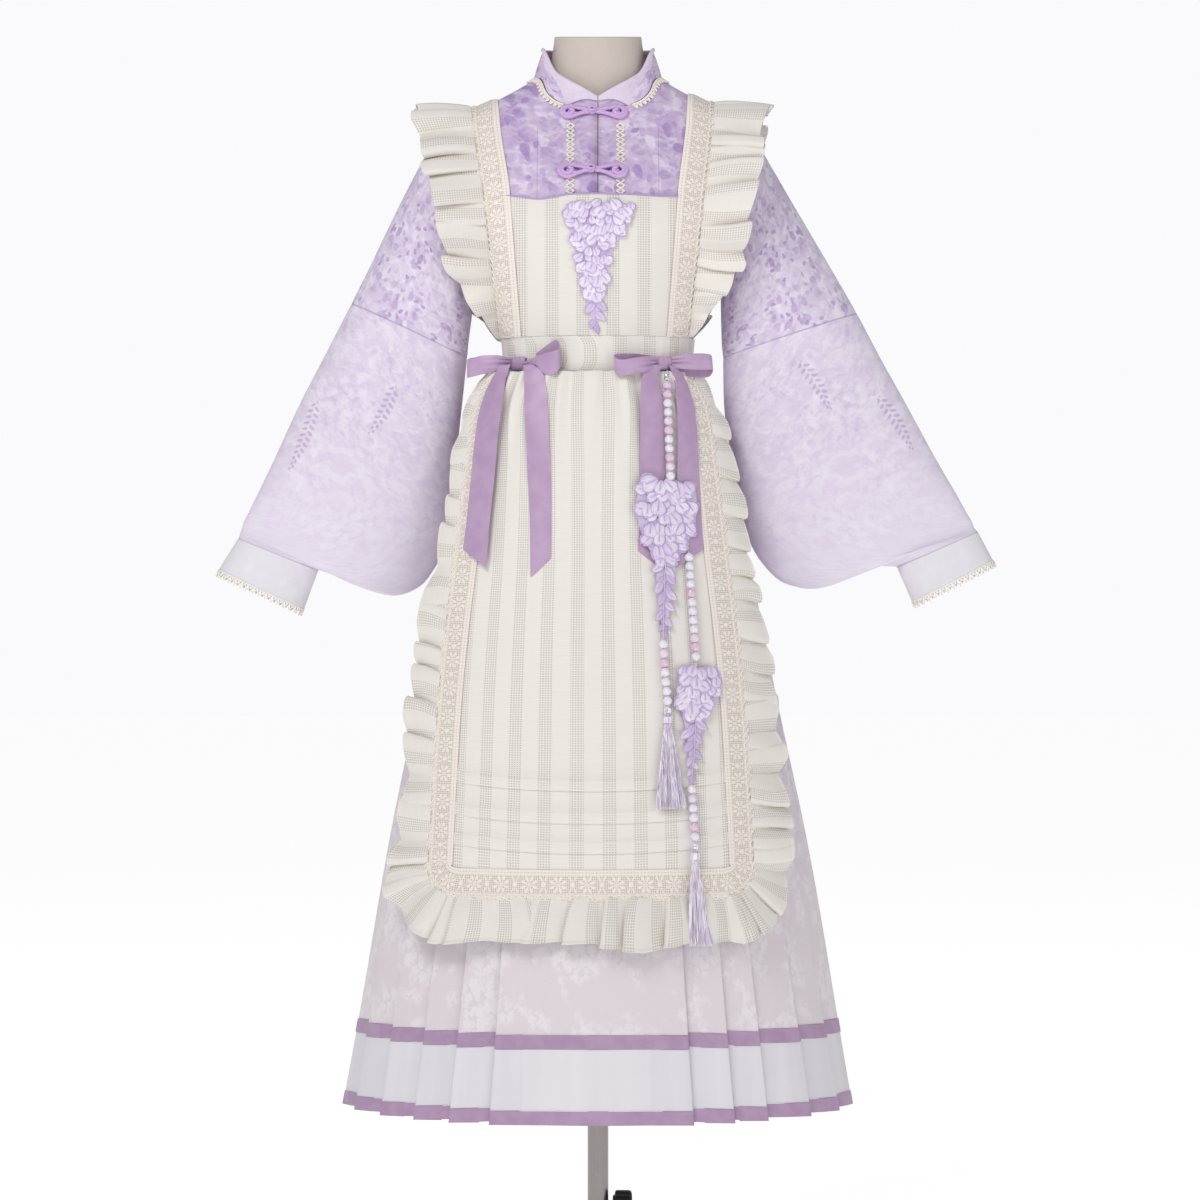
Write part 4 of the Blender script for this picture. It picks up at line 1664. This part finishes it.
def frillPiece(name, roots, lips, normals, replaced, seed, rise, lap, pitches, flip, ragged):
    random = np.random.default_rng(seed)
    along = lengths(lips)
    ends = [0.0]
    while ends[-1] < along[-1]:
        ends.append(ends[-1] + random.uniform(*pitches))
    folds = len(ends) - 1
    ends = np.array(ends) * along[-1] / ends[-1]
    tall = random.uniform(0.55, 1.25, folds)
    tips, tilts, sways = (random.uniform(-1, 1, folds) for _ in range(3))
    lapsBack = random.uniform(0, 1, folds) < 0.35
    turns = np.linspace(0, folds, folds * 26 + 1)
    where = np.interp(turns, np.arange(folds + 1), ends)
    root, lip, up = readAt(where, along, roots), readAt(where, along, lips), unit(readAt(where, along, normals))
    tangent = unit(np.gradient(lip, axis=0))
    reach = lip - root
    span = np.linalg.norm(reach, axis=1)
    size = np.minimum(span / frillLook["full"], 1)
    index = np.minimum(turns.astype(int), folds - 1)
    part = turns - index
    pitch, tallness, sway, tilt, tip = (np.interp(turns, np.arange(folds) + 0.5, values)
                                        for values in (np.diff(ends), tall, sways, tilts, tips))
    mirrored = lapsBack[index]
    place, height = foldProfile(np.where(mirrored, 1 - part, part))
    place = np.where(mirrored, 1 - place, place)
    bulge = tip + 0.5 * height + 0.7 * tilt * (part - 0.5) * np.minimum(height * 2, 1)
    across = np.array([*np.linspace(0, 0.9, 10), 0.945, 0.962, 0.985, 1.0])
    rows = []
    for t in across:
        spread = 0.2 + 0.8 * t ** 0.8
        lifted = rise * tallness * height * spread + 0.9 * np.sin(turns * 4.4 + t * 4) * t
        shift = (place - part) * pitch * lap * spread + 5.0 * sway * math.sin(t * 2.6)
        rows.append(root + reach * t + unit(reach) * (ragged * bulge * t ** 1.5 * size)[:, None]
                    + up * (lifted * size + 1.5 * math.sin(t * math.pi))[:, None]
                    + tangent * (shift * np.minimum(size + 0.15, 1))[:, None])
    grid = np.array(rows)
    flat = lengths(grid[-3])
    uv = uvOf(flat, across[:, None] * span)
    thickness = np.where(across > 0.95, frillLook["hem"], frillLook["thickness"])[:, None] + 0 * flat
    print(name, "flat length", round(float(flat[-1]) * mm, 3), "area", round(sheetArea(grid), 4))
    if flip:
        grid, uv, thickness = grid[::-1], uv[::-1], thickness[::-1]
    return clothPiece(name, grid, thickness, ruffleCloth, replaced, uv=uv)


# How far a shoulder frill's lip lies out, forward and down from its root, by the share of the way down
shoulderFlare = smoothTable([(0, 62, 0, 13), (0.3, 60, 4, 8), (0.6, 57, 10, 2), (0.68, 54, 10, 0), (0.77, 48, 9, 0),
                             (0.84, 39, 8, 0), (0.92, 26, 6, 0), (1, 5, 1, 0)])


def makeShoulder(name, side):
    band = crochetPiece(f"lace_strap_{name}", strapGrid(side, 4.1, 9), f"strap_{name}", flip=side < 0)
    part = np.linspace(-1, 1, 200)
    angle, z = overShoulder(side, strapEdges(np.abs(part))[1] - 1.0, part)
    roots = dress.at(angle, z, 4.0)
    out, forward, down = shoulderFlare(np.abs(part))
    reach = np.stack([side * out, np.sign(part) * forward, -down], -1)
    lay = unit(np.cross(np.gradient(roots, axis=0), reach) * side * -1.0)
    lay = unit(lay + dress.normal(dress.at(angle, z)) * 0.4)
    frill = frillPiece(f"shoulder_frill_{name}", roots, roots + reach, lay, f"shoulder_ruffle_{name}", 51 + side,
                       18.0, 1.3, (20, 48), flip=side > 0, ragged=8.0)
    edge = strapGrid(side, 4.8, 12)
    path = edge[:, 10]
    braid = chainParts(path, edge[:, 11] - edge[:, 9], dress.normal(path), 8.6, 3.2, 0.85)
    tubePiece(f"strap_braid_{name}", braid, laceThread)


def makeBib():
    low, high = strapFoot, 1295
    heights = np.linspace(low, high, 42)
    part = ((heights - low) / (high - low))[:, None]
    edge = lerp(float(strapEdges(1.0)[0]), float(strapEdges(0.6)[0]), part) + 7.0
    f = np.linspace(-1, 1, 61)
    x = edge * f - 9.0 * np.maximum(f, 0) ** 2
    scallop = -5.5 * np.exp(-((x + 68) / 26) ** 2) - 2.5 * np.exp(-((x - 76) / 30) ** 2) + 1.5
    z = heights[:, None] + scallop * part ** 3
    grid = dress.under(x, z, 2.4 + 0.8 * np.sin(x / 17 + z / 60) * (1 - f ** 2))
    cloth = clothPiece("apron_bib", grid, 1.0, bibCloth, "bib", uv=uvOf(x, z - low))
    cord = tubeParts(grid[-1] + dress.normal(grid[-1]) * 0.5, 1.0)
    tubePiece("bib_piping", [cord], pipingCord)


bibMotif = [(1136, -6, 1), (1170, -18, 10), (1200, -26, 16), (1230, -31, 22), (1262, -40, 40), (1281, -43, 47),
            (1290, -40, 45)]


def makeApplique():
    sheet = PetalSheet(dress.under, 13)
    sheet.ground(bibMotif, 3.0, 0.8)
    sheet.fill(bibMotif, 3.8, size=15.0, narrow=33)
    sheet.piece("bib_blossom", "bib_applique")


# The outline of the apron from the waistband down one side, round the bottom and up the other
def apronOutline(step=5.0):
    look = apronLook
    bottom, corner = look["bottom"], look["corner"]
    side = [(apronCentre - float(reachAt(z)[0]), z, 0.0) for z in np.arange(look["top"], bottom + corner, -step)]
    wide = float(reachAt(bottom)[0])
    arc = [(apronCentre - wide + corner * (1 - math.cos(t)), bottom + corner * (1 - math.sin(t)), t)
           for t in np.linspace(0, quarter, 14)]
    flat = wide - corner
    below = [(x, bottom, quarter) for x in np.arange(apronCentre - flat + step, apronCentre + flat, step)]
    half = np.array(side + arc)
    mirrored = half[::-1] * (-1, 1, -1) + (2 * apronCentre, 0, math.pi)
    return np.concatenate([half, np.array(below), mirrored])


# A point on the apron's oval, moved outwards from the outline by a distance along the cloth
def beside(outline, distance, lift):
    x, z, turn = outline.T
    height = z - distance * np.sin(turn)
    angle = apron.angleAt(x, z)
    half, front, _, _ = apron.table(height)
    reach = np.hypot(half * np.sin(angle), front * np.cos(angle))
    return apron.at(angle - np.cos(turn) * distance / reach, height, lift)


# Gathers below the waistband: how far they stand out at each height, and the valleys between them as
# (where, share of that height, how far down, how wide)
gatherHeight = smoothTable([(600, 0.5), (800, 1.0), (870, 1.4), (920, 1.9), (968, 3.0), (1012, 5.0), (1050, 6.8),
                            (1080, 6.5), (1091, 3.5)])
gatherCreases = [
    (-100, 1.0, 260, 7), (-90, 0.6, 60, 3), (-78, 0.9, 120, 5), (-66, 0.8, 110, 4), (-52, 0.9, 170, 5),
    (-46, 0.6, 60, 3), (-33, 0.8, 90, 4), (-22, 1.0, 200, 6), (-9, 0.7, 80, 4), (3, 0.95, 240, 6), (17, 0.8, 90, 4),
    (31, 1.0, 340, 8), (42, 0.7, 60, 3), (52, 0.9, 150, 6), (63, 0.7, 90, 4), (76, 0.8, 130, 5), (90, 0.7, 80, 5),
]


def makeApronSkirt():
    look = apronLook
    # Rows of the cloth as (height, how far it stands out, share of the tucks' bow)
    rows = [(z, 0.0, 0.0) for z in np.linspace(look["top"], 632, 92)]
    for fold in look["tucks"]:
        top = fold + look["tuckHeight"]
        rows += [(top + 2.0, 0.2, 1), (top, 1.2, 1), (top - 4, 1.9, 1), (fold + 6, 2.0, 1), (fold + 1.2, 2.0, 1),
                 (fold, 1.6, 1), (fold + 0.6, 1.0, 1), (fold + 6, 0.9, 1), (top - 2, 0.8, 1), (top - 1.2, 0.5, 1),
                 (top - 2, 0.05, 1), (fold + 6, 0.0, 1), (fold - 3, 0.0, 1), (fold - 8, 0.0, 1)]
    rows[-1:] = [(515, 0, 0.6), (503, 0, 0.2), (492, 0, 0), (484, 0, 0), (478, 0, 0)]
    z, out, bow = np.array(rows).T[..., None]
    part = np.linspace(0, 1, 141)
    rest = np.maximum(look["corner"] - (z - look["bottom"]), 0)
    reach = reachAt(z)[0] - (look["corner"] - np.sqrt(np.maximum(look["corner"] ** 2 - rest ** 2, 0)))
    start, end = apron.angleAt(apronCentre - reach, z), apron.angleAt(apronCentre + reach, z)
    x = apronCentre + (2 * part - 1) * float(reachAt(look["top"])[0])
    crease, fall = 0, look["top"] - z
    for where, deep, length, wide in gatherCreases:
        here = where + 4.0 * np.sin(fall / 85 + where)
        valley = np.exp(-((x - here) / (wide * (1 + fall / 260))) ** 2)
        crease = np.maximum(crease, deep * valley * np.exp(-(fall / length) ** 2))
    swell = gatherHeight(z)[0] * (1 - crease) + 1.0 * np.sin(part * 21 + z / 130) * smoothStep(z, 640, 800)
    window = np.clip((0.40 - np.abs(part - 0.5)) / 0.06, 0, 1)
    lift = look["lift"] + look["thickness"] + 0.3 + swell * window + out * (0.1 + 0.6 * window)
    grid = apron.at(start + (end - start) * part, z + bow * 13 * (2 * part - 1) ** 2, np.maximum(lift, 1.4))
    uv = uvOf((part - 0.5) * look["flatWidth"], lengths(grid[:, 70])[:, None])
    cloth = clothPiece("apron_front", grid[::-1], 0.7, apronCloth, "apron_skirt", uv=uv[::-1])
    print("apron area", round(sheetArea(grid), 4))


def makeApronBorder():
    look = apronLook
    outline = apronOutline()
    grid = np.stack([beside(outline, d, look["laceLift"] - 0.7 * max(0, (-d - 24) / 10) ** 2)
                     for d in np.linspace(-look["laceWidth"], 0, 10)], 1)
    border = crochetPiece("lace_border", grid, "lace_frame", flip=True)
    print("lace area", round(sheetArea(grid), 4))
    path = beside(outline, -2.2, look["laceLift"] + 0.9)
    across = beside(outline, 2, 0) - beside(outline, -2, 0)
    tubePiece("border_braid", chainParts(path, across, apron.normal(path), 9.0, 3.6, 0.95), laceThread)
    x, z, turn = outline.T
    onSide = (turn < 0.01) | (turn > math.pi - 0.01)
    # The frill is drawn in more tightly down the one side
    narrow = np.where(x < apronCentre, 1 - look["drawnIn"] * smoothStep(z, 480, 600), 1.0)
    reach = np.where(onSide, reachAt(z)[1] * narrow, look["ruffle"])
    roots, lips = (beside(outline, distance, look["lift"] + 1.6) for distance in (-1.5, reach))
    frill = frillPiece("apron_frill", roots, lips, apron.normal(roots), "apron_ruffle", 61, 14.0, 1.25, (20, 52),
                       flip=False, ragged=7.5)


makeWaistband()
makeShoulder("left", -1)
makeShoulder("right", 1)
makeBib()
makeApplique()
makeApronSkirt()
makeApronBorder()
print("apron made")




# Ribbon bows. Each loop runs out from the knot and back: the way it faces, and rows of (out, forward, up) for its
# upper and lower edges. Each tail has rows of (height, left, right, lift) and the heights of its two end corners.
# A crease is (how deep, where across the ribbon, how wide, how far along).
bowLook = {"z": 1100, "stand": 10.0, "thickness": 0.7, "knot": (23, 17, 11),
           "creases": ((4.2, 0.58, 0.12, 18), (3.2, 0.28, 0.1, 13))}
bows = {
    "left": {
        "x": -94, "turn": -0.6,
        "loops": {
            "left": (-0.2, [
                (8, 3, 7, 8, 3, -4), (24, 7.5, 10, 24, 7, -8.5), (42, 9, 10, 42, 8, -12), (56, 7, 6.5, 56, 6, -15.5),
                (63.5, 1, 4.5, 63.5, 1, -16.5), (60, -3.5, 8, 60, -4, -12), (42, -5, 9.5, 42, -5, -11),
                (24, -4, 8, 24, -4, -9), (8, -3, 5, 8, -3, -6)]),
            "right": (-0.72, [
                (9, 4, 0, 9, 3.5, -9.5), (24, 9, 3, 24, 8, -12), (42, 10.5, 7.5, 40, 9, -14),
                (57, 8, 11.5, 54, 6.5, -15.5), (66, 2, 14, 63, 1, -12.5), (63, -2.5, 21, 65, -2, -3),
                (55, -4.5, 27.5, 60, -4, 3), (38, -4.5, 19, 40, -4.5, -3), (22, -4, 10.5, 22, -4, -7),
                (9, -3, 6, 9, -3, -8)]),
        },
        "tails": {
            "left": ([(1098, -117, -104, 10), (1082, -126, -109, 12), (1068, -132.9, -110.9, 14),
                      (1041, -141.2, -114.4, 15), (1012, -145.3, -117.6, 15), (968, -149.4, -121.2, 15),
                      (924, -153.5, -125.6, 15), (870, -158.5, -131, 15)], (881, 859)),
            "right": ([(1098, -88, -76, 9), (1086, -87, -64, 9), (1056, -86.5, -59.4, 7.4), (1012, -84.4, -57.1, 6.2),
                       (968, -82.4, -55.3, 6.0), (924, -80, -54.4, 6.0), (858, -78.5, -55, 5.6)], (848, 870)),
        },
    },
    "right": {
        "x": 78, "turn": 0.5,
        "loops": {
            "left": (0.52, [
                (8, 3, 4.5, 8, 3, -5), (20, 9, 7, 20, 8, -9), (33, 10.5, 6.5, 34, 8.5, -12),
                (50, 8.5, 3.5, 49, 7.5, -15), (61, 4, 1.5, 59.5, 3, -17), (67, -1, 4.5, 64.5, -1.5, -15),
                (66.5, -4, 9, 65, -4, -10), (50, -5, 10, 50, -5, -12), (36, -4.5, 10.5, 36, -5, -11),
                (20, -4, 9, 20, -4, -8), (8, -3, 7, 8, -3, -5)]),
            "right": (0.2, [
                (8, 3, 7, 8, 3, -5), (24, 7, 10, 24, 6.5, -7), (40, 8, 11.5, 41, 7, -7.5), (53, 6, 11, 55, 5.5, -7),
                (58, 1, 9, 60, 0.5, -8), (56, -4, 4, 56, -4, -16), (42, -5, 2.5, 42, -4.5, -16.5),
                (26, -4, 2, 26, -3.5, -14.5), (10, -3, 2, 10, -3, -8)]),
        },
        "tails": {
            "left": ([(1098, 62, 76, 9), (1084, 52, 71, 8.5), (1056, 49.8, 75.8, 6.6), (1012, 49.7, 77.8, 5.8),
                      (968, 49.2, 78.2, 5.4), (924, 48.4, 77, 5.0), (866, 46.5, 75.5, 4.4)], (878, 856)),
            "right": ([(1098, 84, 92, 9), (1086, 88.5, 101, 10.5), (1070, 91.5, 108.2, 11.5),
                       (1044, 93.2, 114.6, 11.5), (1010, 93.5, 117.4, 9.5), (956, 92.9, 119.9, 8.0),
                       (910, 91.5, 122, 7.8), (868, 90, 123.5, 7.4)], (858, 880)),
        },
    },
}


# A rounded curve through the rows, so that the loop's end turns softly
def smoothRows(rows, count):
    rows = np.array(rows, float)
    along = lengths((rows[:, :3] + rows[:, 3:]) / 2)
    values = readAt(np.linspace(0, along[-1], count), along, rows)
    padded = np.concatenate([values[:1]] * 4 + [values] + [values[-1:]] * 4)
    kernel = np.hanning(9) / np.hanning(9).sum()
    return np.stack([np.convolve(column, kernel, "valid") for column in padded.T], -1)


# Places in a bow's own frame, turned about the upright and moved to where the bow is
def turned(origin, turn, out, forward, up):
    across, facing = np.array([math.cos(turn), math.sin(turn), 0]), np.array([math.sin(turn), -math.cos(turn), 0])
    return origin + out[..., None] * across + forward[..., None] * facing + up[..., None] * np.array([0, 0, 1.0])


def makeLoop(name, origin, side, facing, rows):
    sign = -1 if side == "left" else 1
    edges = smoothRows(rows, 64)[:, None]
    f, row = np.linspace(0, 1, 19), np.arange(64)[:, None]
    place = edges[..., :3] * (1 - f)[:, None] + edges[..., 3:] * f[:, None]
    arch = np.sin(f * math.pi) * np.interp(row / 63, [0, 0.2, 0.45, 0.6, 1], [1.4, 3.0, 1.6, -1.2, -1.4])
    for deep, where, wide, run in bowLook["creases"]:
        arch = arch - deep * np.exp(-((f - where) / wide) ** 2) * np.exp(-(row / run) ** 2)
    grid = turned(origin, facing, sign * place[..., 0], place[..., 1] + arch, place[..., 2])[:, ::-sign]
    loop = clothPiece(f"bow_{name}_{side}_loop", grid, bowLook["thickness"], bowSatin,
                      f"bow_{name}_loop_{side}")


# The knot: a band of ribbon wound round the middle, puckered along its length
def makeKnot(name, origin, turn):
    length, height, depth = bowLook["knot"]
    s, a = np.meshgrid(np.linspace(-1, 1, 25), np.linspace(0, tau, 49), indexing="ij")
    swell = 1 - 0.22 * np.abs(s) ** 3
    folds = 1 + 0.035 * np.sin(s * 13 + 0.6 * np.sin(a)) * smoothStep(np.cos(a), -0.5, 0.3)
    y = depth / 2 * signedPower(np.cos(a), 0.7) * swell * folds
    grid = turned(origin, turn, s * length / 2, y, height / 2 * signedPower(np.sin(a), 0.8) * swell)
    knot = clothPiece(f"bow_{name}_centre", grid[::-1], 0.8, bowSatin, f"bow_{name}_knot", closed=True)


def makeTail(name, side, rows, corners):
    heights = np.linspace(rows[0][0], rows[-1][0], 70)[:, None]
    left, right, lift = smoothTable([(-z, *others) for z, *others in rows])(-heights)
    f, end = np.linspace(0, 1, 9), rows[-1][0]
    x = left * (1 - f) + right * f
    slant = (corners[0] - end) * (1 - f) + (corners[1] - end) * f
    wave = 0.5 * np.sin(heights / 23 + (0 if side == "left" else 1.7)) + 0.7 * np.sin(f * math.pi)
    grid = onApron(x, heights + slant * smoothStep(heights, end + 46, end), lift + wave)
    tail = clothPiece(f"bow_{name}_{side}_tail", grid[::-1], bowLook["thickness"], bowSatin,
                      f"bow_{name}_tail_{side}")


for name, look in bows.items():
    at = dress.at(dress.angleAt(float(look["x"]), 1112.0), np.array(float(bowLook["z"])), np.array(bowLook["stand"]))
    origin = np.array([look["x"], *at[1:]])
    for side, (facing, rows) in look["loops"].items():
        makeLoop(name, origin, side, facing, rows)
    makeKnot(name, origin, look["turn"])
    for side, (rows, corners) in look["tails"].items():
        makeTail(name, side, rows, corners)
print("bows made")
